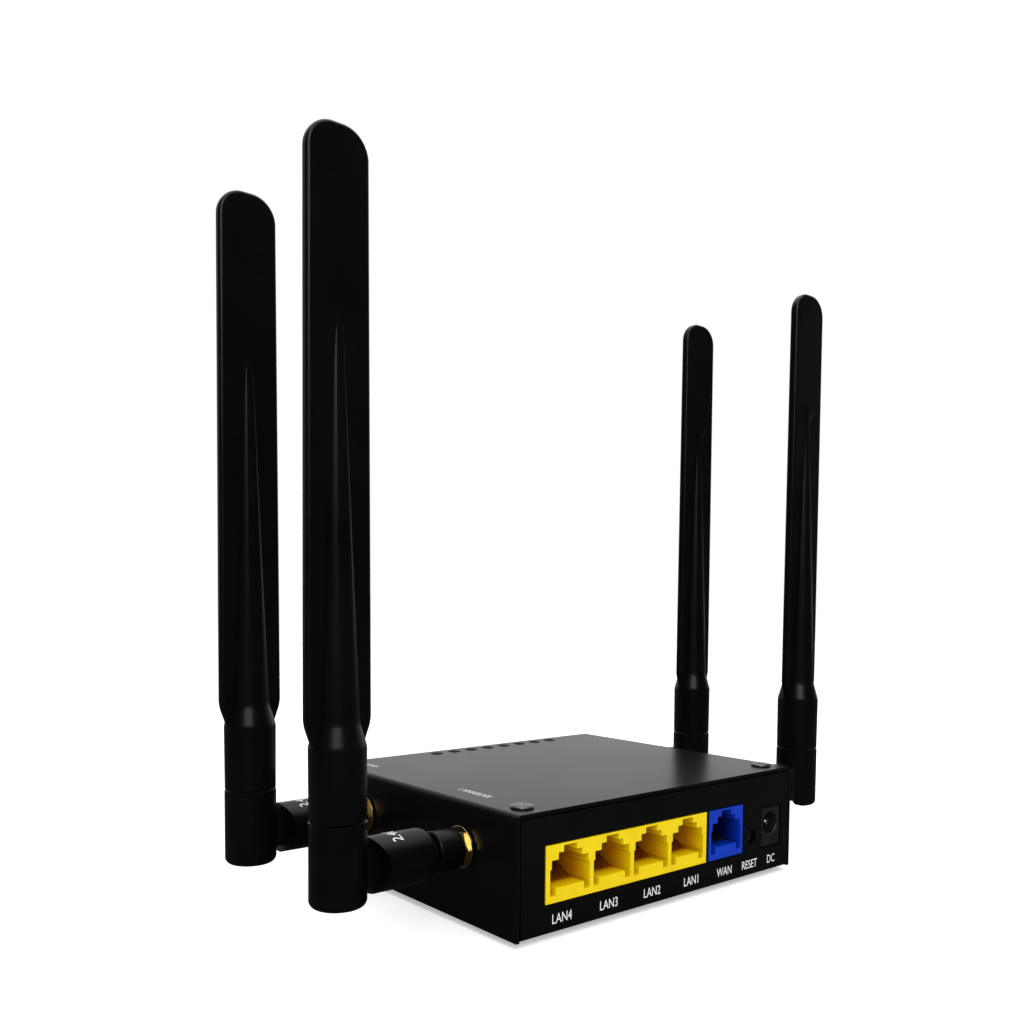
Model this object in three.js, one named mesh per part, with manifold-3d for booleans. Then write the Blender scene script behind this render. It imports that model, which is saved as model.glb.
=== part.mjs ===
// A four-antenna wireless router: a folded sheet-metal case with a port panel, the board and jacks
// inside it, and four hinged antennas screwed onto coaxial connectors on the two side walls.
//
// Millimetres, +Z up. The port panel faces -Y and the light windows are along the +Y edge of the top.
// The origin is on the ground under the middle of the case.

import * as THREE from 'three';
import { mergeVertices } from 'three/addons/utils/BufferGeometryUtils.js';
import Module from 'manifold-3d';

const wasm = await Module();
wasm.setup();

// ---- Driving dimensions ----

const CASE_WIDTH = 104;
const CASE_DEPTH = 84;
const CASE_HEIGHT = 29;
const SHEET = 1;
const BEND_RADIUS = 1.4;
const FOOT_HEIGHT = 1.5;
const FOOT_RADIUS = 4.5;
const FOOT_INSET = 13;

// Clearance left between pieces that fit together.
const GAP = 0.3;
// How far a cutting body runs past the face that it opens.
const OVERRUN = 1;

const SCREW_INSET_X = 6.4;
const SCREW_INSET_Y = 5.85;
const SCREW_HEAD_RADIUS = 2.8;
const SCREW_HEAD_HEIGHT = 1;
const SCREW_SHANK_RADIUS = 1.2;
const SCREW_LENGTH = 6;

const BOARD_THICKNESS = 1.6;
const BOARD_UNDERSIDE = 5.3;
const BOARD_HALF_WIDTH = 48.5;
const BOARD_FRONT = -40;
const BOARD_REAR = 39;
const BOARD_SCREW_X = 44.5;
const BOARD_SCREW_FRONT_Y = -17;
const BOARD_SCREW_REAR_Y = 33;
const PROCESSOR_X = 4;
const PROCESSOR_Y = 6;
const PROCESSOR_HALF = 7.5;
const PROCESSOR_HEIGHT = 1.4;
const TRANSFORMER_FRONT = -22.5;
const TRANSFORMER_DEPTH = 9.5;
const TRANSFORMER_HEIGHT = 6;
const LAN_TRANSFORMER_LEFT = -27;
const LAN_TRANSFORMER_WIDTH = 28;
const WAN_TRANSFORMER_LEFT = 16;
const WAN_TRANSFORMER_WIDTH = 13;

// Every network socket has the same outline: a stepped slot for the plug's latch at the top, and a
// raised floor with a narrow groove at each end. Heights are from the bottom of the jack.
const SOCKET_PITCH = 13.97;
const SOCKET_WIDTH = 12.6;
const GROOVE_WIDTH = 1.8;
const GROOVE_FLOOR = 1.6;
const SOCKET_FLOOR = 3.4;
const SHOULDER_WIDTH = 11.7;
const SHOULDER_FLOOR = 7.8;
const SOCKET_CEILING = 9.9;
const LATCH_WIDTH = 7.4;
const LATCH_CEILING = 11.5;
const LATCH_TIP_WIDTH = 4.1;
const LATCH_TIP_CEILING = 13;
const JACK_HEIGHT = 13.6;
const JACK_DEPTH = 14;
const LAN_SOCKETS = 4;
const LAN_LEFT = -43.3;
const LAN_WIDTH = 57.3;
const WAN_LEFT = 15.1;
const WAN_WIDTH = 14.6;
const CONTACTS_PER_SOCKET = 8;
const CONTACT_PITCH = 1.02;

const POWER_X = 43;
const POWER_WIDTH = 8.8;
const POWER_HEIGHT = 11.1;
const POWER_DEPTH = 14;
const POWER_RECESS = 0.4;
const POWER_HOLE_RADIUS = 3.15;
const POWER_PIN_RADIUS = 1;
const POWER_HOLE_HEIGHT = 13.6;

const RESET_X = 33.8;
const RESET_HEIGHT = 11;
const RESET_HOLE_RADIUS = 2.1;
const RESET_BUTTON_RADIUS = 1.7;

const LIGHT_COUNT = 8;
const LIGHT_PITCH = 6.69;
const LIGHT_FIRST_X = -17;
const LIGHT_Y = 37.8;
const LIGHT_HOLE_RADIUS = 1.9;

// The coaxial connectors, measured from the wall outward along the connector's own axis.
const CONNECTOR_HEIGHT = 18;
const CONNECTOR_FRONT_Y = -21.8;
const CONNECTOR_REAR_Y = 22.1;
const THREAD_RADIUS = 3.15;
const HEX_CORNER_RADIUS = 4.62;
const HINGE_OUT = 33.4;

// The antenna, measured up and down from the hinge pin.
const TUBE_RADIUS = 6.3;
const TONGUE_HALF = 2.2;
const TONGUE_RADIUS = 4.2;
const SLOT_HALF = 2.5;
const SLOT_RADIUS = 4.6;
const SHOULDER_RADIUS = 9.8;
const PIN_RADIUS = 1.5;
const KNUCKLE_BOTTOM = -7.6;
const KNUCKLE_TOP = 10.8;
const SLEEVE_TOP = 27.2;
const BLADE_SHOULDER = 32.2;
const ANTENNA_TIP = 156.5;
const BLADE_WIDTH_LOW = 15.8;
const BLADE_WIDTH_HIGH = 14.7;
const BLADE_THICKNESS = 2.8;
const SPINE_RADIUS = 4.9;
const SPINE_TIP_RADIUS = 1.1;
const SPINE_TOP = 128;

// The number of flat sides that stand for a round, by its size.
const SIDES_LARGE = 20;
const SIDES_MEDIUM = 16;
const SIDES_SMALL = 12;

// The number of straight steps along each round corner of an outline.
const STEPS_NONE = 1;
const STEPS_SMALL = 3;
const STEPS_LARGE = 5;

const FLOOR = FOOT_HEIGHT;
const ROOF = FLOOR + CASE_HEIGHT;
const FRONT = -CASE_DEPTH / 2;
const REAR = CASE_DEPTH / 2;
const SIDE = CASE_WIDTH / 2;
const BOARD_TOP = FLOOR + BOARD_UNDERSIDE + BOARD_THICKNESS;
const JACK_FLOOR = BOARD_TOP + GAP;

// ---- Finishes ----

const FINISHES = {
  blackPaint: { color: 0x0b0b0c, roughness: 0.38, metalness: 0.2 },
  blackPlastic: { color: 0x0a0a0b, roughness: 0.35, metalness: 0 },
  blackScrew: { color: 0x141416, roughness: 0.4, metalness: 0.8 },
  rubber: { color: 0x161616, roughness: 0.85, metalness: 0 },
  yellowPlastic: { color: 0xf0dc08, roughness: 0.35, metalness: 0 },
  bluePlastic: { color: 0x1446c8, roughness: 0.35, metalness: 0 },
  brass: { color: 0xc99a3b, roughness: 0.25, metalness: 1 },
  steel: { color: 0xa8abb0, roughness: 0.3, metalness: 1 },
  circuitBoard: { color: 0x14502c, roughness: 0.5, metalness: 0 },
  aluminium: { color: 0xb4b7ba, roughness: 0.35, metalness: 1 },
  clearPlastic: { color: 0xb8c0c4, roughness: 0.2, metalness: 0 },
  cableJacket: { color: 0x202022, roughness: 0.5, metalness: 0 },
};

const router = new THREE.Group();

// ---- Solids ----

// Turns a closed geometry into a solid that can be cut and joined.
function solid(geometry) {
  const bare = geometry.clone();
  bare.deleteAttribute('normal');
  bare.deleteAttribute('uv');
  const merged = mergeVertices(bare);
  const corners = merged.index.array;
  const triangles = [];
  for (let i = 0; i < corners.length; i += 3) {
    const [a, b, c] = [corners[i], corners[i + 1], corners[i + 2]];
    if (a !== b && b !== c && c !== a) {
      triangles.push(a, b, c);
    }
  }
  return new wasm.Manifold(new wasm.Mesh({
    numProp: 3,
    vertProperties: merged.attributes.position.array,
    triVerts: Uint32Array.from(triangles),
  }));
}

function join(first, ...others) {
  return others.reduce((whole, piece) => whole.add(piece), first);
}

function cut(body, ...tools) {
  return tools.reduce((whole, tool) => whole.subtract(tool), body);
}

function block(xLow, xHigh, yLow, yHigh, zLow, zHigh) {
  const box = new THREE.BoxGeometry(xHigh - xLow, yHigh - yLow, zHigh - zLow);
  box.translate((xLow + xHigh) / 2, (yLow + yHigh) / 2, (zLow + zHigh) / 2);
  return solid(box);
}

function rodX(radius, from, to, y, z, sides) {
  const rod = new THREE.CylinderGeometry(radius, radius, to - from, sides);
  rod.rotateZ(Math.PI / 2);
  rod.translate((from + to) / 2, y, z);
  return solid(rod);
}

function rodY(radius, from, to, x, z, sides) {
  const rod = new THREE.CylinderGeometry(radius, radius, to - from, sides);
  rod.translate(x, (from + to) / 2, z);
  return solid(rod);
}

function rodZ(radius, from, to, x, y, sides) {
  const rod = new THREE.CylinderGeometry(radius, radius, to - from, sides);
  rod.rotateX(Math.PI / 2);
  rod.translate(x, y, (from + to) / 2);
  return solid(rod);
}

// A body turned about the X axis, from its [distance along X, radius] outline.
function turnedX(outline, sides) {
  const points = outline.map(([along, radius]) => new THREE.Vector2(radius, along));
  const lathe = new THREE.LatheGeometry(points, sides);
  lathe.rotateZ(-Math.PI / 2);
  return solid(lathe);
}

// A body turned about a vertical line, from its [height, radius] outline.
function turnedZ(outline, x, sides) {
  const points = outline.map(([height, radius]) => new THREE.Vector2(radius, height));
  const lathe = new THREE.LatheGeometry(points, sides);
  lathe.rotateX(Math.PI / 2);
  lathe.translate(x, 0, 0);
  return solid(lathe);
}

// An XZ outline pushed along Y.
function plateY(shape, yLow, yHigh, curveSegments) {
  const plate = new THREE.ExtrudeGeometry(shape, { depth: yHigh - yLow, bevelEnabled: false, curveSegments });
  plate.rotateX(Math.PI / 2);
  plate.translate(0, yHigh, 0);
  return solid(plate);
}

// A YZ outline pushed along X.
function plateX(shape, xLow, xHigh, curveSegments) {
  const plate = new THREE.ExtrudeGeometry(shape, { depth: xHigh - xLow, bevelEnabled: false, curveSegments });
  plate.rotateX(Math.PI / 2);
  plate.rotateZ(Math.PI / 2);
  plate.translate(xLow, 0, 0);
  return solid(plate);
}

// The cross-section of a sheet bent into an open tray: a flat web, with a wall at each end.
// The walls point up when the rim is above the web, and down when it is below.
function bentSheet(half, web, rim) {
  const up = Math.sign(rim - web);
  const inner = BEND_RADIUS - SHEET;
  const bendZ = web + up * BEND_RADIUS;
  const shape = new THREE.Shape();
  shape.moveTo(-half, rim);
  shape.lineTo(-half, bendZ);
  shape.absarc(-half + BEND_RADIUS, bendZ, BEND_RADIUS, Math.PI, Math.PI * (1 + up / 2), up < 0);
  shape.lineTo(half - BEND_RADIUS, web);
  shape.absarc(half - BEND_RADIUS, bendZ, BEND_RADIUS, -Math.PI * up / 2, 0, up < 0);
  shape.lineTo(half, rim);
  shape.lineTo(half - SHEET, rim);
  shape.lineTo(half - SHEET, bendZ);
  shape.absarc(half - BEND_RADIUS, bendZ, inner, 0, -Math.PI * up / 2, up > 0);
  shape.lineTo(-half + BEND_RADIUS, web + up * SHEET);
  shape.absarc(-half + BEND_RADIUS, bendZ, inner, Math.PI * (1 + up / 2), Math.PI, up > 0);
  shape.lineTo(-half + SHEET, rim);
  shape.closePath();
  return shape;
}

function meshOf(body, finish, name) {
  const { vertProperties, triVerts } = body.getMesh();
  const geometry = new THREE.BufferGeometry();
  geometry.setAttribute('position', new THREE.BufferAttribute(vertProperties, 3));
  geometry.setIndex(new THREE.BufferAttribute(triVerts, 1));
  const mesh = new THREE.Mesh(geometry, new THREE.MeshStandardMaterial(FINISHES[finish]));
  mesh.name = name;
  return mesh;
}

// ---- Case ----

const coverScrews = [];
for (const x of [-SIDE + SCREW_INSET_X, SIDE - SCREW_INSET_X]) {
  coverScrews.push({ x, y: FRONT + SCREW_INSET_Y });
}

const boardScrews = [];
for (const x of [-BOARD_SCREW_X, BOARD_SCREW_X]) {
  for (const y of [BOARD_SCREW_FRONT_Y, BOARD_SCREW_REAR_Y]) {
    boardScrews.push({ x, y });
  }
}

const connectorRows = [CONNECTOR_FRONT_Y, CONNECTOR_REAR_Y];

// The top and the two side walls, bent from one sheet, with holes for screws, lights and connectors.
function makeTopCover() {
  const holes = [];
  for (const { x, y } of coverScrews) {
    holes.push(rodZ(SCREW_SHANK_RADIUS + GAP, ROOF - SHEET - OVERRUN, ROOF + OVERRUN, x, y, SIDES_SMALL));
  }
  for (let i = 0; i < LIGHT_COUNT; i += 1) {
    const x = LIGHT_FIRST_X + i * LIGHT_PITCH;
    holes.push(rodZ(LIGHT_HOLE_RADIUS, ROOF - SHEET - OVERRUN, ROOF + OVERRUN, x, LIGHT_Y, SIDES_SMALL));
  }
  for (const y of connectorRows) {
    holes.push(rodX(
      THREAD_RADIUS + GAP, -SIDE - OVERRUN, SIDE + OVERRUN,
      y, FLOOR + CONNECTOR_HEIGHT, SIDES_MEDIUM,
    ));
  }
  const shell = plateY(bentSheet(SIDE, ROOF, FLOOR), FRONT, REAR, STEPS_SMALL);
  return cut(shell, ...holes);
}

// The bottom, the port panel and the light-side panel, bent from one sheet, with a bent tab in both
// top corners of the port panel for the cover screws, and four pressed-in posts for the board.
function makeBaseTray() {
  const halfLength = SIDE - SHEET - GAP;
  const rim = ROOF - SHEET - GAP;
  const tabWidth = 9;
  const tabDepth = 10;
  const postRadius = 2.8;
  let tray = plateX(bentSheet(REAR, FLOOR, rim), -halfLength, halfLength, STEPS_SMALL);
  for (const { x, y } of coverScrews) {
    const xEdge = Math.sign(x) * halfLength;
    const yEdge = Math.sign(y) * REAR;
    const xEnd = xEdge - Math.sign(x) * tabWidth;
    const yEnd = yEdge - Math.sign(y) * tabDepth;
    const tab = block(
      Math.min(xEdge, xEnd), Math.max(xEdge, xEnd),
      Math.min(yEdge, yEnd), Math.max(yEdge, yEnd),
      rim - SHEET, rim,
    );
    tray = join(tray, tab);
    const hole = rodZ(SCREW_SHANK_RADIUS + GAP, rim - SHEET - OVERRUN, rim + OVERRUN, x, y, SIDES_SMALL);
    tray = cut(tray, hole);
  }
  for (const { x, y } of boardScrews) {
    const postTop = BOARD_TOP - BOARD_THICKNESS - GAP;
    tray = join(tray, rodZ(postRadius, FLOOR + SHEET / 2, postTop, x, y, SIDES_SMALL));
    tray = cut(tray, rodZ(SCREW_SHANK_RADIUS + GAP, FLOOR + SHEET, postTop + OVERRUN, x, y, SIDES_SMALL));
  }
  const panelFrom = FRONT - OVERRUN;
  const panelTo = FRONT + SHEET + OVERRUN;
  const jackTop = JACK_FLOOR + JACK_HEIGHT;
  const powerLeft = POWER_X - POWER_WIDTH / 2 - GAP;
  const powerRight = POWER_X + POWER_WIDTH / 2 + GAP;
  const powerBottom = JACK_FLOOR - OVERRUN;
  const powerTop = JACK_FLOOR + POWER_HEIGHT + GAP;
  return cut(
    tray,
    block(LAN_LEFT - GAP, LAN_LEFT + LAN_WIDTH + GAP, panelFrom, panelTo, JACK_FLOOR - GAP, jackTop + GAP),
    block(WAN_LEFT - GAP, WAN_LEFT + WAN_WIDTH + GAP, panelFrom, panelTo, JACK_FLOOR - GAP, jackTop + GAP),
    block(powerLeft, powerRight, panelFrom, panelTo, powerBottom, powerTop),
    rodY(RESET_HOLE_RADIUS, panelFrom, panelTo, RESET_X, FLOOR + RESET_HEIGHT, SIDES_MEDIUM),
  );
}

// A pan-head screw with a cross recess, its head resting just above the given height.
function makeScrew(x, y, seat) {
  const seatGap = 0.1;
  const headTop = seat + seatGap + SCREW_HEAD_HEIGHT;
  const recessHalfLength = 1.4;
  const recessHalfWidth = 0.3;
  const recessDepth = 0.6;
  const crown = 0.4;
  const outline = [
    [seat - SCREW_LENGTH + SCREW_HEAD_HEIGHT, 0],
    [seat - SCREW_LENGTH + SCREW_HEAD_HEIGHT, SCREW_SHANK_RADIUS],
    [seat + seatGap, SCREW_SHANK_RADIUS],
    [seat + seatGap, SCREW_HEAD_RADIUS],
    [headTop - crown, SCREW_HEAD_RADIUS],
    [headTop, SCREW_HEAD_RADIUS - crown * 2],
    [headTop, 0],
  ];
  const recessFloor = headTop - recessDepth;
  const recessTop = headTop + OVERRUN;
  const screw = cut(
    turnedZ(outline, 0, SIDES_MEDIUM),
    block(-recessHalfLength, recessHalfLength, -recessHalfWidth, recessHalfWidth, recessFloor, recessTop),
    block(-recessHalfWidth, recessHalfWidth, -recessHalfLength, recessHalfLength, recessFloor, recessTop),
  );
  return screw.translate([x, y, 0]);
}

router.add(meshOf(makeTopCover(), 'blackPaint', 'top_cover'));
router.add(meshOf(makeBaseTray(), 'blackPaint', 'base_tray'));

coverScrews.forEach(({ x, y }, index) => {
  router.add(meshOf(makeScrew(x, y, ROOF), 'blackScrew', `cover_screw_${index + 1}`));
});

boardScrews.forEach(({ x, y }, index) => {
  router.add(meshOf(makeScrew(x, y, BOARD_TOP), 'steel', `board_screw_${index + 1}`));
});

// Stick-on rubber feet, slightly narrower at the ground than at the case.
const footTaper = 0.5;
let footNumber = 1;
for (const x of [-SIDE + FOOT_INSET, SIDE - FOOT_INSET]) {
  for (const y of [FRONT + FOOT_INSET, REAR - FOOT_INSET]) {
    const footTop = FOOT_HEIGHT - GAP / 3;
    const foot = new THREE.CylinderGeometry(FOOT_RADIUS, FOOT_RADIUS - footTaper, footTop, SIDES_LARGE);
    foot.rotateX(Math.PI / 2);
    foot.translate(x, y, footTop / 2);
    router.add(meshOf(solid(foot), 'rubber', `foot_${footNumber}`));
    footNumber += 1;
  }
}

// ---- Board and what stands on it ----

function makeMainBoard() {
  const bottom = BOARD_TOP - BOARD_THICKNESS;
  const holes = boardScrews.map(({ x, y }) => (
    rodZ(SCREW_SHANK_RADIUS + GAP, bottom - OVERRUN, BOARD_TOP + OVERRUN, x, y, SIDES_SMALL)
  ));
  const board = block(-BOARD_HALF_WIDTH, BOARD_HALF_WIDTH, BOARD_FRONT, BOARD_REAR, bottom, BOARD_TOP);
  return cut(board, ...holes);
}

function makeHeatsink() {
  const half = 13;
  const baseHeight = 2;
  const finHeight = 8;
  const finThickness = 1.2;
  const finCount = 7;
  const bottom = BOARD_TOP + PROCESSOR_HEIGHT + 2 * GAP;
  let heatsink = block(-half, half, -half, half, bottom, bottom + baseHeight);
  for (let i = 0; i < finCount; i += 1) {
    const x = -half + i * (2 * half - finThickness) / (finCount - 1);
    const fin = block(x, x + finThickness, -half, half, bottom + baseHeight / 2, bottom + finHeight);
    heatsink = join(heatsink, fin);
  }
  return heatsink.translate([PROCESSOR_X, PROCESSOR_Y, 0]);
}

const processor = block(
  PROCESSOR_X - PROCESSOR_HALF, PROCESSOR_X + PROCESSOR_HALF,
  PROCESSOR_Y - PROCESSOR_HALF, PROCESSOR_Y + PROCESSOR_HALF,
  BOARD_TOP + GAP, BOARD_TOP + GAP + PROCESSOR_HEIGHT - GAP / 2,
);

// The potted line transformers stand behind the jacks that they serve.
function makeTransformer(left, width) {
  return block(
    left, left + width,
    TRANSFORMER_FRONT, TRANSFORMER_FRONT + TRANSFORMER_DEPTH,
    BOARD_TOP + GAP, BOARD_TOP + GAP + TRANSFORMER_HEIGHT,
  );
}

router.add(meshOf(makeMainBoard(), 'circuitBoard', 'main_board'));
const lanTransformer = makeTransformer(LAN_TRANSFORMER_LEFT, LAN_TRANSFORMER_WIDTH);
const wanTransformer = makeTransformer(WAN_TRANSFORMER_LEFT, WAN_TRANSFORMER_WIDTH);
router.add(meshOf(lanTransformer, 'blackPlastic', 'lan_transformer'));
router.add(meshOf(wanTransformer, 'blackPlastic', 'wan_transformer'));
router.add(meshOf(processor, 'blackPlastic', 'processor'));
router.add(meshOf(makeHeatsink(), 'aluminium', 'heatsink'));

// The outline of one socket's mouth, centred on x: down its right side and back up its left.
function socketShape(x) {
  const half = SOCKET_WIDTH / 2;
  const rightSide = [
    [LATCH_TIP_WIDTH / 2, LATCH_TIP_CEILING],
    [LATCH_TIP_WIDTH / 2, LATCH_CEILING],
    [LATCH_WIDTH / 2, LATCH_CEILING],
    [LATCH_WIDTH / 2, SOCKET_CEILING],
    [SHOULDER_WIDTH / 2, SOCKET_CEILING],
    [SHOULDER_WIDTH / 2, SHOULDER_FLOOR],
    [half, SHOULDER_FLOOR],
    [half, GROOVE_FLOOR],
    [half - GROOVE_WIDTH, GROOVE_FLOOR],
    [half - GROOVE_WIDTH, SOCKET_FLOOR],
  ];
  const leftSide = rightSide.map(([across, up]) => [-across, up]).reverse();
  const outline = [...rightSide, ...leftSide];
  return new THREE.Shape(outline.map(([across, up]) => new THREE.Vector2(x + across, JACK_FLOOR + up)));
}

// A moulded jack housing: a block with each socket running right through it.
function makeJack(left, width, centres) {
  const rear = FRONT + JACK_DEPTH;
  const body = block(left, left + width, FRONT, rear, JACK_FLOOR, JACK_FLOOR + JACK_HEIGHT);
  const sockets = centres.map((x) => plateY(socketShape(x), FRONT - OVERRUN, rear + OVERRUN, STEPS_NONE));
  return cut(body, ...sockets);
}

// The insert behind a jack: the bar that closes its back and carries eight spring contacts for
// each socket, which slope forward and down to the socket's floor.
function makeContacts(left, width, centres) {
  const barFront = FRONT + JACK_DEPTH + GAP;
  const barThickness = 2.6;
  const barTop = JACK_FLOOR + LATCH_TIP_CEILING;
  const wireWidth = 0.42;
  const wireThickness = 0.4;
  const wireSlope = 0.46;
  const wireFront = FRONT + 4.3;
  const wireRear = barFront + barThickness / 2;
  const frontHeight = JACK_FLOOR + SOCKET_FLOOR + GAP;
  const rearHeight = frontHeight + wireSlope * (wireRear - wireFront);
  let insert = block(left, left + width, barFront, barFront + barThickness, JACK_FLOOR, barTop);
  const side = new THREE.Shape();
  side.moveTo(wireFront, frontHeight);
  side.lineTo(wireRear, rearHeight);
  side.lineTo(wireRear, rearHeight + wireThickness);
  side.lineTo(wireFront, frontHeight + wireThickness);
  side.closePath();
  for (const centre of centres) {
    for (let i = 0; i < CONTACTS_PER_SOCKET; i += 1) {
      const x = centre + (i - (CONTACTS_PER_SOCKET - 1) / 2) * CONTACT_PITCH;
      insert = join(insert, plateX(side, x - wireWidth / 2, x + wireWidth / 2, STEPS_NONE));
    }
  }
  return insert;
}

const lanMiddle = LAN_LEFT + LAN_WIDTH / 2;
const lanCentres = [];
for (let i = 0; i < LAN_SOCKETS; i += 1) {
  lanCentres.push(lanMiddle + (i - (LAN_SOCKETS - 1) / 2) * SOCKET_PITCH);
}
const wanCentres = [WAN_LEFT + WAN_WIDTH / 2];

router.add(meshOf(makeJack(LAN_LEFT, LAN_WIDTH, lanCentres), 'yellowPlastic', 'lan_jack_block'));
router.add(meshOf(makeContacts(LAN_LEFT, LAN_WIDTH, lanCentres), 'brass', 'lan_contacts'));
router.add(meshOf(makeJack(WAN_LEFT, WAN_WIDTH, wanCentres), 'bluePlastic', 'wan_jack'));
router.add(meshOf(makeContacts(WAN_LEFT, WAN_WIDTH, wanCentres), 'brass', 'wan_contacts'));

// The power inlet: a housing with a round socket, and the centre pin that stands in it.
const powerFront = FRONT + POWER_RECESS;
const powerRear = powerFront + POWER_DEPTH;
const powerHoleZ = FLOOR + POWER_HOLE_HEIGHT;
const powerSocketEnd = powerFront + 9.5;
const powerHousing = cut(
  block(
    POWER_X - POWER_WIDTH / 2, POWER_X + POWER_WIDTH / 2,
    powerFront, powerRear,
    JACK_FLOOR, JACK_FLOOR + POWER_HEIGHT,
  ),
  rodY(POWER_HOLE_RADIUS, powerFront - OVERRUN, powerSocketEnd, POWER_X, powerHoleZ, SIDES_MEDIUM),
  rodY(POWER_PIN_RADIUS + GAP, powerFront, powerRear + OVERRUN, POWER_X, powerHoleZ, SIDES_SMALL),
);
const powerPinFront = powerFront + 1;
const powerPin = rodY(POWER_PIN_RADIUS, powerPinFront, powerRear, POWER_X, powerHoleZ, SIDES_SMALL);

router.add(meshOf(powerHousing, 'blackPlastic', 'dc_jack_housing'));
router.add(meshOf(powerPin, 'steel', 'dc_jack_pin'));

// The reset switch stands behind its hole in the panel, and its plunger slides back along +Y.
const resetZ = FLOOR + RESET_HEIGHT;
const resetTip = FRONT + 1.3;
const resetSwitchFront = FRONT + 5;
const resetSwitchDepth = 4;
const resetSwitchHalf = 3;
const resetStemRadius = 1.1;
const resetStemEnd = resetSwitchFront + 2.4;
const resetSwitchBore = resetSwitchFront + 3.2;
const resetTravelRoom = 1;
const resetSwitch = cut(
  block(
    RESET_X - resetSwitchHalf, RESET_X + resetSwitchHalf,
    resetSwitchFront, resetSwitchFront + resetSwitchDepth,
    JACK_FLOOR, resetZ + resetSwitchHalf,
  ),
  rodY(resetStemRadius + GAP, resetSwitchFront - OVERRUN, resetSwitchBore, RESET_X, resetZ, SIDES_SMALL),
);
const resetButton = join(
  rodY(RESET_BUTTON_RADIUS, resetTip, resetSwitchFront - resetTravelRoom, RESET_X, resetZ, SIDES_SMALL),
  rodY(resetStemRadius, resetTip + OVERRUN, resetStemEnd, RESET_X, resetZ, SIDES_SMALL),
);

router.add(meshOf(resetSwitch, 'blackPlastic', 'reset_switch'));
router.add(meshOf(resetButton, 'blackPlastic', 'reset_button'));

// One clear moulding carries the light from the board to the eight windows: a rail on two legs,
// with a round stub standing up into each hole in the cover.
function makeLightGuide() {
  const railLow = 25;
  const railHigh = 27;
  const railHalf = 2;
  const overhang = 4;
  const legWidth = 2;
  const first = LIGHT_FIRST_X - overhang;
  const last = LIGHT_FIRST_X + (LIGHT_COUNT - 1) * LIGHT_PITCH + overhang;
  const legFoot = BOARD_TOP + GAP;
  const railFront = LIGHT_Y - railHalf - 1;
  const railRear = LIGHT_Y + railHalf;
  const legRear = BOARD_REAR - OVERRUN;
  const stubRadius = LIGHT_HOLE_RADIUS - GAP;
  const stubFoot = FLOOR + railHigh - OVERRUN;
  const stubTop = ROOF + GAP;
  let guide = join(
    block(first, last, railFront, railRear, FLOOR + railLow, FLOOR + railHigh),
    block(first, first + legWidth, railFront, legRear, legFoot, FLOOR + railHigh),
    block(last - legWidth, last, railFront, legRear, legFoot, FLOOR + railHigh),
  );
  for (let i = 0; i < LIGHT_COUNT; i += 1) {
    const x = LIGHT_FIRST_X + i * LIGHT_PITCH;
    guide = join(guide, rodZ(stubRadius, stubFoot, stubTop, x, LIGHT_Y, SIDES_SMALL));
  }
  return guide;
}

router.add(meshOf(makeLightGuide(), 'clearPlastic', 'light_guide'));

// ---- Antennas ----
// Each is built with its connector along +X, the wall at x = 0 and the hinge pin along Y.

// The fixed brass socket: a threaded body through the wall, with a hexagon and a stem inside.
function makeConnectorJack() {
  const hexInner = -3.8;
  const hexOuter = -SHEET - GAP;
  const stemEnd = -6;
  const stemRadius = 1.8;
  const threadStart = hexInner + OVERRUN;
  const threadEnd = 7.6;
  const boreRadius = 2.3;
  const boreFloor = 3.2;
  const turned = turnedX([
    [stemEnd, 0], [stemEnd, stemRadius], [threadStart, stemRadius], [threadStart, THREAD_RADIUS],
    [threadEnd, THREAD_RADIUS], [threadEnd, boreRadius], [boreFloor, boreRadius], [boreFloor, 0],
  ], SIDES_SMALL);
  return join(turned, rodX(HEX_CORNER_RADIUS, hexInner, hexOuter, 0, 0, 6));
}

// The brass hexagon nut that clamps the socket to the wall, with its washer face.
function makeConnectorNut() {
  const washerRadius = 5.1;
  const washerFace = 0.9;
  const nutEnd = 2.1;
  const washer = rodX(washerRadius, GAP, washerFace, 0, 0, SIDES_LARGE);
  const hexagon = rodX(HEX_CORNER_RADIUS, washerFace - SHEET / 4, nutEnd, 0, 0, 6);
  return cut(join(washer, hexagon), rodX(THREAD_RADIUS + GAP, -OVERRUN, nutEnd + OVERRUN, 0, 0, SIDES_SMALL));
}

// The black nut at the antenna's foot. It turns freely on the barrel's neck.
function makeCouplingNut() {
  const near = 2.4;
  const far = 9.2;
  const lip = 8.4;
  const outer = 4.9;
  const chamfer = 0.4;
  const bore = THREAD_RADIUS + GAP;
  const lipBore = 2.7;
  return turnedX([
    [near, bore], [near, outer], [far - chamfer, outer], [far, outer - chamfer],
    [far, lipBore], [lip, lipBore], [lip, bore], [near, bore],
  ], SIDES_MEDIUM);
}

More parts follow.
